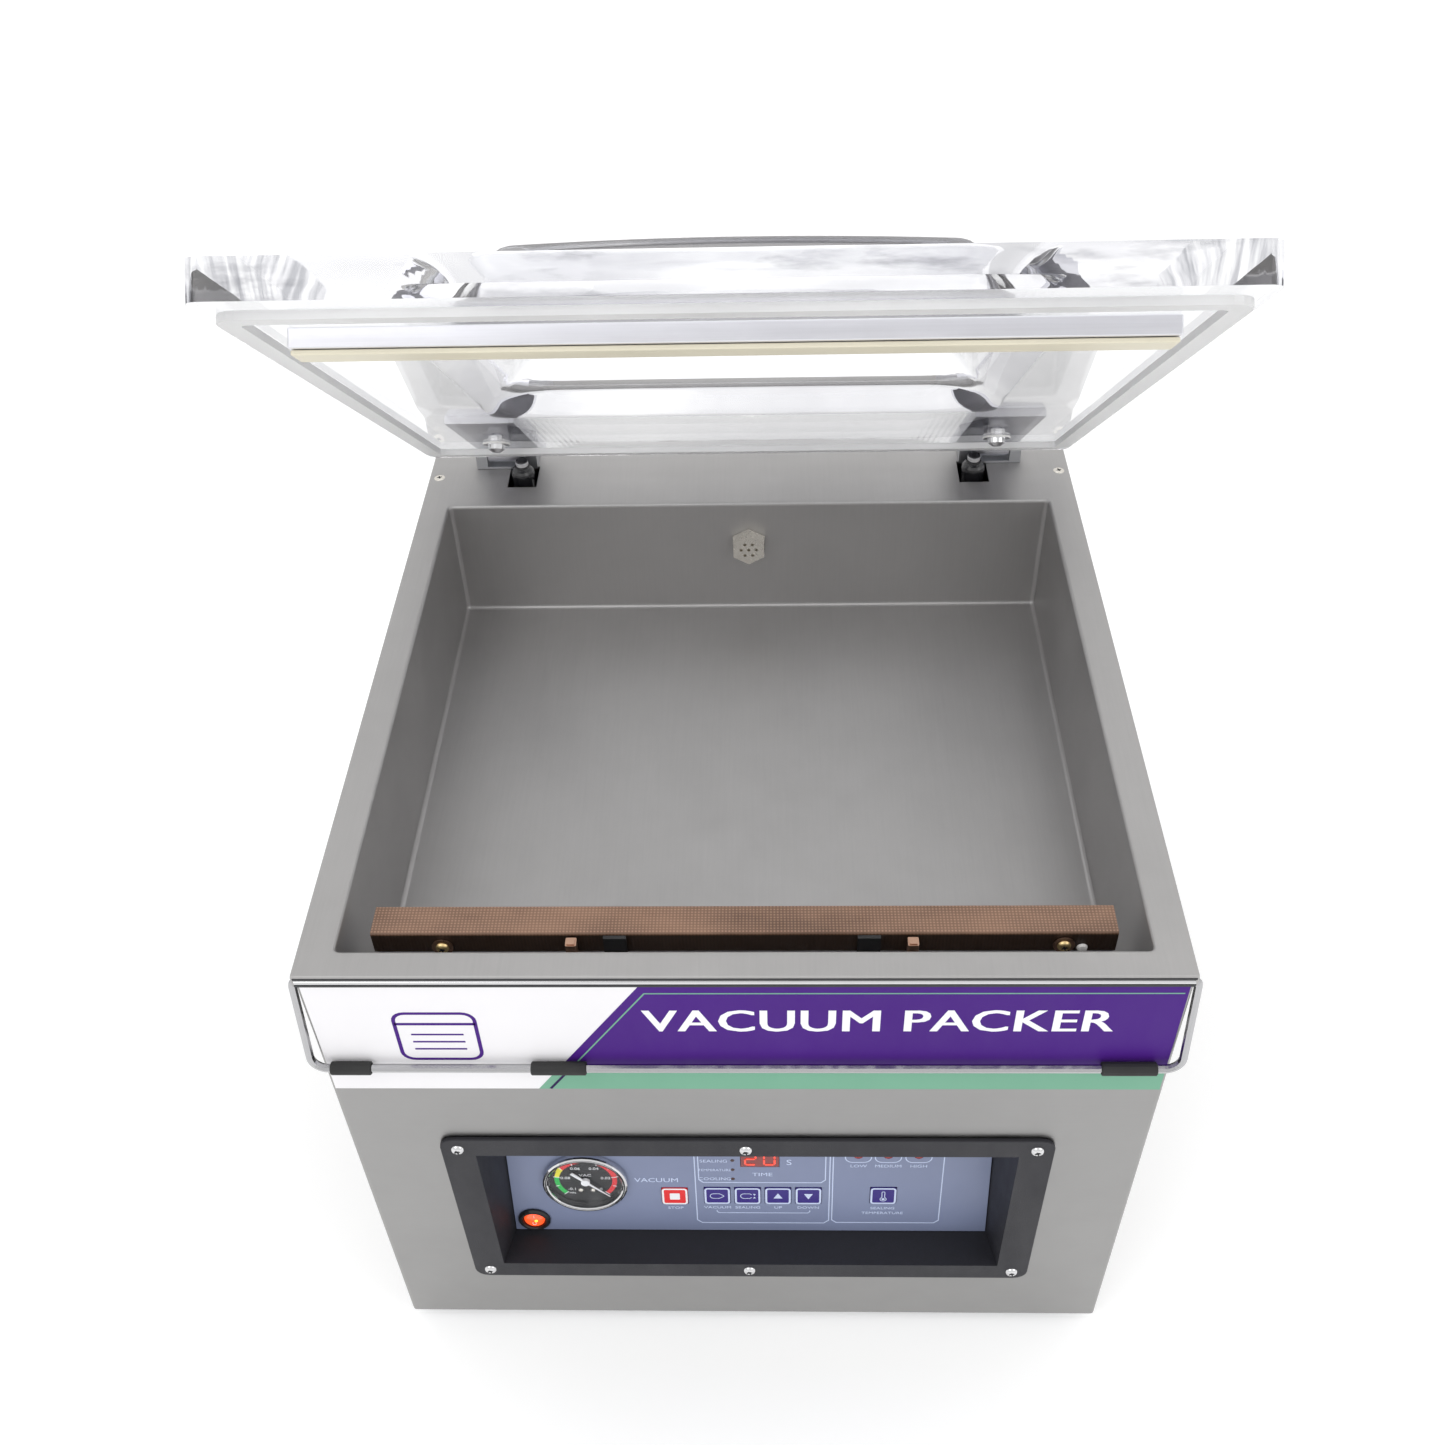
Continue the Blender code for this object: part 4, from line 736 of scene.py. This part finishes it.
# ---------------------------------------------------------------- control panel print
def build_panel_print():
    low, high = 0.00002, 0.00016
    work = bmesh.new()
    fine = 0.0007
    top = 0.128
    left_frame = [(-0.0358, top), (-0.0358, 0.0125), (-0.0325, 0.0093), (0.0513, 0.0093)]
    left_frame += [(0.0546, 0.0125), (0.0546, top)]
    add_band(work, left_frame, fine, low, high)
    sub = [(-0.0334, top - 0.003), (-0.0334, 0.0575), (-0.0305, 0.0546), (0.0488, 0.0546)]
    sub += [(0.0517, 0.0575), (0.0517, top - 0.003)]
    add_band(work, sub, fine, low, high)
    add_band(work, [(-0.0358, top), (0.0546, top)], fine, low, high)
    right_frame = [(0.0567, top), (0.0567, 0.0130), (0.0598, 0.0100), (0.1268, 0.0100)]
    right_frame += [(0.1299, 0.0130), (0.1299, top)]
    add_band(work, right_frame, fine, low, high)
    add_band(work, [(0.0567, top), (0.1299, top)], fine, low, high)
    bracket = [(-0.0220, 0.0236), (-0.0220, 0.0222), (-0.0206, 0.0207), (0.0402, 0.0207)]
    bracket += [(0.0416, 0.0222), (0.0416, 0.0236)]
    add_band(work, bracket, fine * 0.8, low, high)
    for x in (0.0732, 0.0930, 0.1131):
        lamp_frame = rounded((x - 0.0086, 0.0768), (x + 0.0086, 0.0905), 0.0048, 5)
        add_band(work, lamp_frame, fine, low, high, 0, True)
    keys = {"stop_key": "STOP", "vacuum_key": "VACUUM", "sealing_key": "SEALING", "up_key": "UP"}
    keys["down_key"] = "DOWN"
    for node, words in keys.items():
        x, s = key_place(node)
        add_words(work, words, (x, s - 0.0137), 0.0036, low, high, 0, 1.25)
    x, s = key_place("temperature_key")
    add_words(work, "SEALING", (x, s - 0.0146), 0.0036, low, high, 0, 1.2)
    add_words(work, "TEMPERATURE", (x, s - 0.0200), 0.0036, low, high, 0, 1.2)
    add_words(work, "SEALING", (-0.0230, 0.0775), 0.0042, low, high, 0, 1.15)
    add_words(work, "TEMPERATURE", (-0.0226, 0.0679), 0.0034, low, high, 0, 1.0)
    add_words(work, "COOLING", (-0.0226, 0.0584), 0.0042, low, high, 0, 1.15)
    add_words(work, "VACUUM", (-0.0620, 0.0566), 0.0062, low, high, 0, 1.16)
    add_words(work, "S", (0.0273, 0.0762), 0.0080, low, high, 0, 1.1)
    add_words(work, "TIME", (0.0095, 0.0632), 0.0052, low, high, 0, 1.25)
    for words, x in (("LOW", 0.0735), ("MEDIUM", 0.0932), ("HIGH", 0.1134)):
        add_words(work, words, (x, 0.0727), 0.0040, low, high, 0, 1.2)
    finish_piece("panel_print", work, ["pale"], PANEL, "cabinet", 0.0)

    work = bmesh.new()
    for s in (0.0782, 0.0683, 0.0584):
        spot = Matrix.Translation((-0.0104, s, 0.0))
        add_turned(work, [(0.0, 0.0007), (0.0009, 0.0005), (0.0014, 0.00003), (0.0, 0.00003)], spot, 16, 0)
    for x in (0.0732, 0.0930, 0.1131):
        spot = Matrix.Translation((x, 0.0836, 0.0))
        add_turned(work, [(0.0, 0.0009), (0.0022, 0.0006), (0.0032, 0.00003), (0.0, 0.00003)], spot, 20, 1)
    finish_piece("panel_leds", work, ["unlit", "led_red"], PANEL, "cabinet")

    work = bmesh.new()
    for x, lit in ((0.0016, "abged"), (0.0142, "abcdef")):
        add_digit(work, x, 0.0800, 0.0070, 0.0115, lit)
    finish_piece("display_digits", work, ["lit"], PANEL, "cabinet", 0.0)


def add_digit(work, x, s, width, height, lit):
    """Seven-segment digit: each segment is a six-sided bar."""
    w, h, t = width / 2, height / 2, 0.0012
    bars = {
        "a": ((-w, h), (w, h)),
        "g": ((-w, 0.0), (w, 0.0)),
        "d": ((-w, -h), (w, -h)),
        "f": ((-w, h), (-w, 0.0)),
        "b": ((w, h), (w, 0.0)),
        "e": ((-w, 0.0), (-w, -h)),
        "c": ((w, 0.0), (w, -h)),
    }
    for name in lit:
        first, second = (Vector(point) for point in bars[name])
        way = (second - first).normalized()
        side = Vector((-way.y, way.x)) * t / 2
        a = first + way * t * 0.25
        b = second - way * t * 0.25
        outline = [a, a + way * t / 2 - side, b - way * t / 2 - side, b, b - way * t / 2 + side]
        outline.append(a + way * t / 2 + side)
        add_prism(work, [(x + p.x, s + p.y) for p in outline], 0.00025, 0.00045, 0)


def key_place(node):
    low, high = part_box(node)
    middle = (Vector(low) + Vector(high)) / 2
    local = PANEL.inverted() @ middle
    return local.x, local.y


def build_key_caps():
    """Pale borders and white signs printed on each key."""
    face = 0.0007
    low, high = face + 0.00002, face + 0.00014
    half = 0.0080
    for node in ("stop_key", "vacuum_key", "sealing_key", "up_key", "down_key", "temperature_key"):
        x, s = key_place(node)
        work = bmesh.new()
        border = rounded((x - half, s - half), (x + half, s + half), 0.0018, 4)
        add_band(work, border, 0.0013, low, high, 0, True)
        fine = 0.0005
        if node == "up_key":
            add_prism(work, [(x - 0.0030, s - 0.0024), (x + 0.0030, s - 0.0024), (x, s + 0.0032)], low, high)
        elif node == "down_key":
            add_prism(work, [(x - 0.0030, s + 0.0026), (x, s - 0.0032), (x + 0.0030, s + 0.0026)], low, high)
        elif node == "stop_key":
            side = 0.0034
            add_prism(work, rounded((x - side, s - side), (x + side, s + side), 0.0006, 3), low, high)
        elif node == "temperature_key":
            bulb = arc((x, s - 0.0034), 0.0021, math.radians(115), math.radians(425), 12)
            tube = arc((x, s + 0.0038), 0.0010, 0.0, math.pi, 6)
            add_band(work, bulb + tube, fine, low, high, 0, True)
            add_prism(work, arc((x, s - 0.0034), 0.0011, 0.0, 2 * math.pi * 11 / 12, 11), low, high)
        else:
            bag = arc((x - 0.0022, s), 0.0026, math.pi / 2, 3 * math.pi / 2, 8)
            mouth = 0.0044 if node == "vacuum_key" else 0.0028
            neck = 0.0004 if node == "vacuum_key" else 0.0015
            bag += [(x + 0.0014, s - 0.0026), (x + mouth, s - neck)]
            if node == "vacuum_key":
                bag += [(x + mouth, s + neck), (x + 0.0014, s + 0.0026)]
                add_band(work, bag, fine, low, high, 0, True)
            else:
                full = [(x + mouth, s + neck), (x + 0.0014, s + 0.0026)] + bag
                add_band(work, full, fine, low, high)
                for sign in (1, -1):
                    points = [(x + 0.0036, s + sign * 0.0026), (x + 0.0056, s + sign * 0.0022),
                              (x + 0.0046, s + sign * 0.0006)]
                    add_prism(work, points if sign < 0 else list(reversed(points)), low, high)
        look = "white" if node == "stop_key" else "pale"
        finish_piece(node + "_print", work, [look], PANEL, node + "_cap", 0.0)


# ---------------------------------------------------------------- gauge
def build_gauge():
    place = PANEL @ Matrix.Translation((GAUGE_X, GAUGE_S, 0.0))
    base = -0.0010
    work = bmesh.new()
    add_turned(work, [(0.0, base + 0.00025), (0.0250, base + 0.00025), (0.0250, base + 0.00005),
                      (0.0, base + 0.00005)], Matrix.Identity(4), 56, 0)
    low, high = base + 0.00026, base + 0.00042
    start, sweep = math.radians(-45.0), math.radians(270.0)
    zones = ((0.0, 0.70, 1), (0.70, 0.80, 2), (0.80, 1.0, 3))
    for first, last, look in zones:
        steps = max(3, int(48 * (last - first)))
        for step in range(steps):
            a = start + sweep * (first + (last - first) * (step + 0.04) / steps)
            b = start + sweep * (first + (last - first) * (step + 0.98) / steps)
            outer = arc((0, 0), 0.0212, a, b, 1)
            inner = arc((0, 0), 0.0180, b, a, 1)
            add_prism(work, outer + inner, low, high, look)
    for step in range(11):
        angle = start + sweep * step / 10
        reach = 0.0220 if step % 2 == 0 else 0.0216
        way = Vector((math.cos(angle), math.sin(angle)))
        inner = way * (0.0176 if step % 2 == 0 else 0.0192)
        add_band(work, [tuple(inner), tuple(way * reach)], 0.00055, high, high + 0.0001, 4)
    numbers = (("0", 0.0), ("0.02", 0.2), ("0.04", 0.4), ("0.06", 0.6), ("0.08", 0.8), ("-0.1", 1.0))
    for words, share in numbers:
        angle = start + sweep * share
        point = Vector((math.cos(angle), math.sin(angle))) * 0.0138
        add_words(work, words, tuple(point), 0.0036, high, high + 0.0001, 4, 1.1)
    add_words(work, "MPa", (-0.0098, -0.0140), 0.0026, high, high + 0.0001, 4)
    add_words(work, "VAC", (0.0, 0.0052), 0.0036, high, high + 0.0001, 4, 1.2)
    for x in (-0.0042, 0.0042):
        spot = Matrix.Translation((x, -0.0112, low))
        add_turned(work, [(0.0, 0.0009), (0.0013, 0.0006), (0.0017, 0.0), (0.0, 0.0)], spot, 16, 5)
    groove = [(0.0262, 0.0052), (0.0266, 0.0053), (0.0270, 0.0052), (0.0266, 0.0049)]
    add_turned(work, [*groove, groove[0]], Matrix.Identity(4), 64, 0)
    finish_piece(
        "gauge_dial",
        work,
        ["dial", "dial_red", "dial_yellow", "dial_green", "white", "nickel"],
        place,
        "cabinet",
        0.0,
    )


def build_switch_marks():
    low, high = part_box("switch_rocker")
    middle = (Vector(low) + Vector(high)) / 2
    local = PANEL.inverted() @ middle
    tilt = math.radians(-7.0)
    place = (
        PANEL
        @ Matrix.Translation((local.x, local.y, -0.0010))
        @ Matrix.Rotation(tilt, 4, "X")
        @ Matrix.Translation((0.0, 0.0, 0.0028))
    )
    work = bmesh.new()
    off_mark = arc((0.0, -0.0030), 0.0013, 0.0, 2 * math.pi * 15 / 16, 15)
    add_band(work, off_mark, 0.0004, -0.0006, 0.0004, 0, True)
    add_band(work, [(0.0, 0.0022), (0.0, 0.0044)], 0.0004, -0.0006, 0.0004, 0)
    add_turned(work, [(0.0, 0.00075), (0.0010, 0.0006), (0.0017, 0.0001)],
               Matrix.Translation((0.0012, -0.0006, 0.0)), 16, 1)
    finish_piece("rocker_marks", work, ["white", "rocker_spot"], place, "power_rocker")


# ---------------------------------------------------------------- screws, small metal and painted shadow strips
def build_screws():
    work = bmesh.new()
    face = FACE @ Matrix.Translation((0.0, 0.0, 0.0030))
    spots = [(-0.179, -0.1735), (0.0, -0.1735), (0.179, -0.1735)]
    spots += [(-0.179, -0.3285), (0.0, -0.3285), (0.179, -0.3285)]
    for x, z in spots:
        cross_screw(work, face @ Matrix.Translation((x, z, 0.0)), 0.0042, 0.0021, 0, 1)
    finish_piece("bezel_screws", work, ["chrome", "dial"], Matrix.Identity(4), "cabinet")

    work = bmesh.new()
    roll_half, shadow_strip_half = 0.2440, 0.2446
    roll = [(-roll_half + 2 * roll_half * step / 24, -0.0012, -0.0048) for step in range(25)]
    add_tube(work, roll, 0.0014, 12, 0)
    # Painted shadow: two thin black strips under the roll and under the deck's edge stand in for the shadow
    # gaps there.
    for shadow_strip_low, shadow_strip_high in ((-0.0028, -0.0014), (-0.0086, -0.0068)):
        add_box(work, (-shadow_strip_half, -0.0019, shadow_strip_low), (shadow_strip_half, -0.0010, shadow_strip_high), 1)
    finish_piece("deck_front_roll", work, ["chrome", "dial"], MACHINE, "cabinet")

    work = bmesh.new()
    for x in (-0.238, 0.238):
        spot = MACHINE @ Matrix.Translation((x, 0.476, 0.0))
        cross_screw(work, spot, 0.0042, 0.0007, 0, 1)
    finish_piece("deck_screws", work, ["nickel", "dial"], Matrix.Identity(4), "cabinet")


# ---------------------------------------------------------------- lid
LID_HALF = 0.243
LID_FRONT = -0.011
LID_BACK = 0.485
LID_BOTTOM = 0.005
LID_THICK = 0.020
DOME_HALF = 0.163
DOME_FRONT = 0.070
DOME_BACK = 0.308
DOME_HEIGHT = 0.042
DOME_RAMP = 0.046
STRAP_X = 0.1795
BOLT_Y = 0.413


def ease(value):
    value = min(1.0, max(0.0, value))
    return value * value * (3.0 - 2.0 * value)


def dome_rise(x, y):
    across = abs(x) / DOME_HALF
    middle = (DOME_FRONT + DOME_BACK) / 2
    half = (DOME_BACK - DOME_FRONT) / 2
    along = abs(y - middle) / half
    side = ease((1 - across) * DOME_HALF / DOME_RAMP) * (1 - 0.13 * min(across, 1.0) ** 2)
    ends = ease((1 - along) * half / DOME_RAMP) * (1 - 0.10 * min(along, 1.0) ** 2)
    return DOME_HEIGHT * side * ends


def spread(edge_low, foot_low, foot_high, edge_high, steps):
    lines = [edge_low, edge_low + 0.008]
    lines += [foot_low + (foot_high - foot_low) * step / steps for step in range(steps + 1)]
    return lines + [edge_high - 0.008, edge_high]


def build_fine_lid():
    """The clear moulded lid with a smooth dome, polished faces and sawn edges; clouds and streaks of painted
    shade grey the light through it.
    """
    xs = spread(-LID_HALF, -DOME_HALF, DOME_HALF, LID_HALF, 78)
    ys = spread(LID_FRONT, DOME_FRONT, DOME_BACK, LID_BACK, 58)
    work = bmesh.new()
    grid = [[work.verts.new((x, y, LID_BOTTOM + dome_rise(x, y))) for x in xs] for y in ys]
    for row in range(len(ys) - 1):
        for column in range(len(xs) - 1):
            corners = (grid[row][column], grid[row][column + 1])
            work.faces.new((*corners, grid[row + 1][column + 1], grid[row + 1][column]))
    grown = bmesh.ops.extrude_face_region(work, geom=list(work.faces))
    raised = [item for item in grown["geom"] if isinstance(item, bmesh.types.BMVert)]
    bmesh.ops.translate(work, vec=(0.0, 0.0, LID_THICK), verts=raised)
    corners = [
        edge
        for edge in work.edges
        if abs(edge.verts[0].co.z - edge.verts[1].co.z) > 0.01
        and abs(edge.verts[0].co.x - edge.verts[1].co.x) < 1e-5
        and abs(abs(edge.verts[0].co.x) - LID_HALF) < 1e-4
        and min(abs(edge.verts[0].co.y - LID_FRONT), abs(edge.verts[0].co.y - LID_BACK)) < 1e-4
    ]
    bmesh.ops.bevel(work, geom=corners, offset=0.0078, segments=6, affect="EDGES", profile=0.5)
    bmesh.ops.recalc_face_normals(work, faces=work.faces)
    for face in work.faces:
        face.material_index = 1 if abs(face.normal.z) < 0.2 else 0
    mesh = bpy.data.meshes.new("lid_slab")
    mesh.materials.append(M["acrylic"])
    mesh.materials.append(M["acrylic_edge"])
    work.to_mesh(mesh)
    work.free()
    slab = bpy.data.objects.new("lid_slab", mesh)
    bpy.context.scene.collection.objects.link(slab)
    cutters = []
    for side in (-1, 1):
        work = bmesh.new()
        middle = Matrix.Translation((side * STRAP_X, BOLT_Y, 0.015))
        bmesh.ops.create_cone(
            work, cap_ends=True, segments=28, radius1=0.0043, radius2=0.0043, depth=0.06, matrix=middle
        )
        drill = bpy.data.meshes.new("drill")
        work.to_mesh(drill)
        work.free()
        cutter = bpy.data.objects.new("drill", drill)
        bpy.context.scene.collection.objects.link(cutter)
        cutters.append(cutter)
        cut = slab.modifiers.new("hole", "BOOLEAN")
        cut.operation = "DIFFERENCE"
        cut.solver = "EXACT"
        cut.object = cutter
    bpy.context.view_layer.update()
    graph = bpy.context.evaluated_depsgraph_get()
    holed = bpy.data.meshes.new_from_object(slab.evaluated_get(graph))
    for item in [*cutters, slab]:
        bpy.data.objects.remove(item, do_unlink=True)
    holed.transform(LID)
    fine = bpy.data.objects.new("clear_lid", holed)
    bpy.context.scene.collection.objects.link(fine)
    holed.shade_smooth()
    holed.set_sharp_from_angle(angle=math.radians(30.0))
    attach(fine, "lid")
    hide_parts("lid")


def add_tube(work, path, radius, steps=8, look=0, bumps=0.0):
    """A round bead or wire along a path, closed at both ends."""
    points = [Vector(point) for point in path]
    rings = []
    for index, point in enumerate(points):
        before = points[max(0, index - 1)]
        after = points[min(len(points) - 1, index + 1)]
        way = (after - before).normalized()
        side = way.orthogonal().normalized()
        other = way.cross(side)
        reach = radius * (1.0 + bumps * (math.sin(index * 2.1) + 0.5 * math.sin(index * 5.3 + 1.0)))
        rings.append(
            [
                work.verts.new(
                    point
                    + side * reach * math.cos(2 * math.pi * step / steps)
                    + other * reach * math.sin(2 * math.pi * step / steps)
                )
                for step in range(steps)
            ]
        )
    for first, second in zip(rings, rings[1:]):
        for step in range(steps):
            after = (step + 1) % steps
            work.faces.new((first[step], first[after], second[after], second[step])).material_index = look
    work.faces.new(list(reversed(rings[0]))).material_index = look
    work.faces.new(rings[-1]).material_index = look


def build_chamber_trim():
    """Weld beads in the rear corners, and the heater terminals on the front of the sealing bar."""
    work = bmesh.new()
    inner, back, floor = 0.2248, 0.4372, -0.0978
    for side in (-1, 1):
        path = [
            (side * (inner - 0.0002), back - 0.0002, floor + 0.001 + (-0.0075 - floor) * step / 40)
            for step in range(41)
        ]
        add_tube(work, path, 0.0007, 8, 0, 0.16)
    path = [
        (-inner + 0.002 + (2 * inner - 0.004) * step / 150, back - 0.0002, floor + 0.0001)
        for step in range(151)
    ]
    add_tube(work, path, 0.0006, 8, 0, 0.16)
    finish_piece("weld_beads", work, ["weld"], MACHINE, "cabinet", 60.0)

    work = bmesh.new()
    front = Matrix.Rotation(math.radians(90.0), 4, "X")
    for x, z in ((-0.1715, -0.0245), (0.1820, -0.0235)):
        spot = Matrix.Translation((x, 0.0390, z)) @ front
        lug = [(0.0, 0.0012), (0.0062, 0.0012), (0.0062, 0.0002), (0.0, 0.0002)]
        add_turned(work, lug, spot, 20, 1)
        cross_screw(work, spot @ Matrix.Translation((0.0, 0.0, 0.0012)), 0.0040, 0.0022, 0, 2)
        wire = [(x + 0.002, 0.0374, z - 0.004), (x + 0.003, 0.0368, z - 0.012)]
        wire += [(x + 0.001, 0.0372, z - 0.022), (x - 0.001, 0.0378, -0.0590)]
        add_tube(work, wire, 0.0013, 8, 2)
    finish_piece("bar_terminals", work, ["brass", "copper", "dial"], MACHINE, "sealing_bar")

    work = bmesh.new()
    spot = Matrix.Translation((0.1925, 0.0390, -0.0262)) @ front
    add_turned(work, [(0.0, 0.0022), (0.0026, 0.0018), (0.0032, 0.0002), (0.0, 0.0002)], spot, 20, 0)
    finish_piece("bar_button", work, ["washer"], MACHINE, "sealing_bar")


def build_contact_posts():
    """Flat-sided copper posts that carry the heating current, with chamfered tops."""
    for name, side in (("left", -1), ("right", 1)):
        low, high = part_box("contact_post_" + name)
        middle = (Vector(low) + Vector(high)) / 2
        half, cut = 0.0031, 0.0008
        foot, head = low[2] + 0.0002, high[2] - 0.0052
        work = bmesh.new()
        outline = rounded((-half, -half), (half, half), cut, 3)
        add_prism(work, outline, foot, head - cut)
        inner = half - cut
        add_prism(work, rounded((-inner, -inner), (inner, inner), cut / 2, 3), head - cut, head)
        collar = [(0.0038, 0.0002), (0.0038, 0.0032), (0.0, 0.0032)]
        add_turned(work, collar, Matrix.Translation((0.0, 0.0, low[2])), 24)
        place = Matrix.Translation((middle.x, middle.y, 0.0))
        post = finish_piece("copper_post_" + name, work, ["copper"], place, "cabinet")
        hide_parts("contact_post_" + name)


def build_lid_fittings():
    """White washers round the lid bolts and bright fittings on the heads of the gas cylinders."""
    work = bmesh.new()
    for side in (-1, 1):
        upside_down = Matrix.Rotation(math.pi, 4, "X")
        spot = Matrix.Translation((side * STRAP_X, BOLT_Y, LID_BOTTOM - 0.0002)) @ upside_down
        ring = [(0.0098, 0.0), (0.0100, 0.0008), (0.0094, 0.0014), (0.0072, 0.0014), (0.0070, 0.0)]
        add_turned(work, [*ring, ring[0]], spot, 36, 0)
    finish_piece("bolt_washers", work, ["washer"], LID, "lid")
    for name, side in (("left", -1), ("right", 1)):
        low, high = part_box("gas_cylinder_" + name)
        middle = Vector(((low[0] + high[0]) / 2, (low[1] + high[1]) / 2, high[2]))
        spot = Matrix.Translation(middle)
        work = bmesh.new()
        profile = [
            (0.0, -0.00005),
            (0.0040, -0.00005),
            (0.0050, -0.0009),
            (0.0050, -0.0040),
            (0.0042, -0.0046),
            (0.0050, -0.0052),
            (0.0050, -0.0092),
            (0.0, -0.0092),
        ]
        add_turned(work, profile, spot, 28, 0)
        body = name + "_gas_cylinder"
        finish_piece("ball_stud_" + name, work, ["chrome"], Matrix.Identity(4), body)


def build_all():
    build_camera()
    build_floor()
    build_lights()
    build_label()
    build_panel_print()
    build_key_caps()
    build_gauge()
    build_switch_marks()
    build_screws()
    build_fine_lid()
    build_chamber_trim()
    build_contact_posts()
    build_lid_fittings()


build_all()
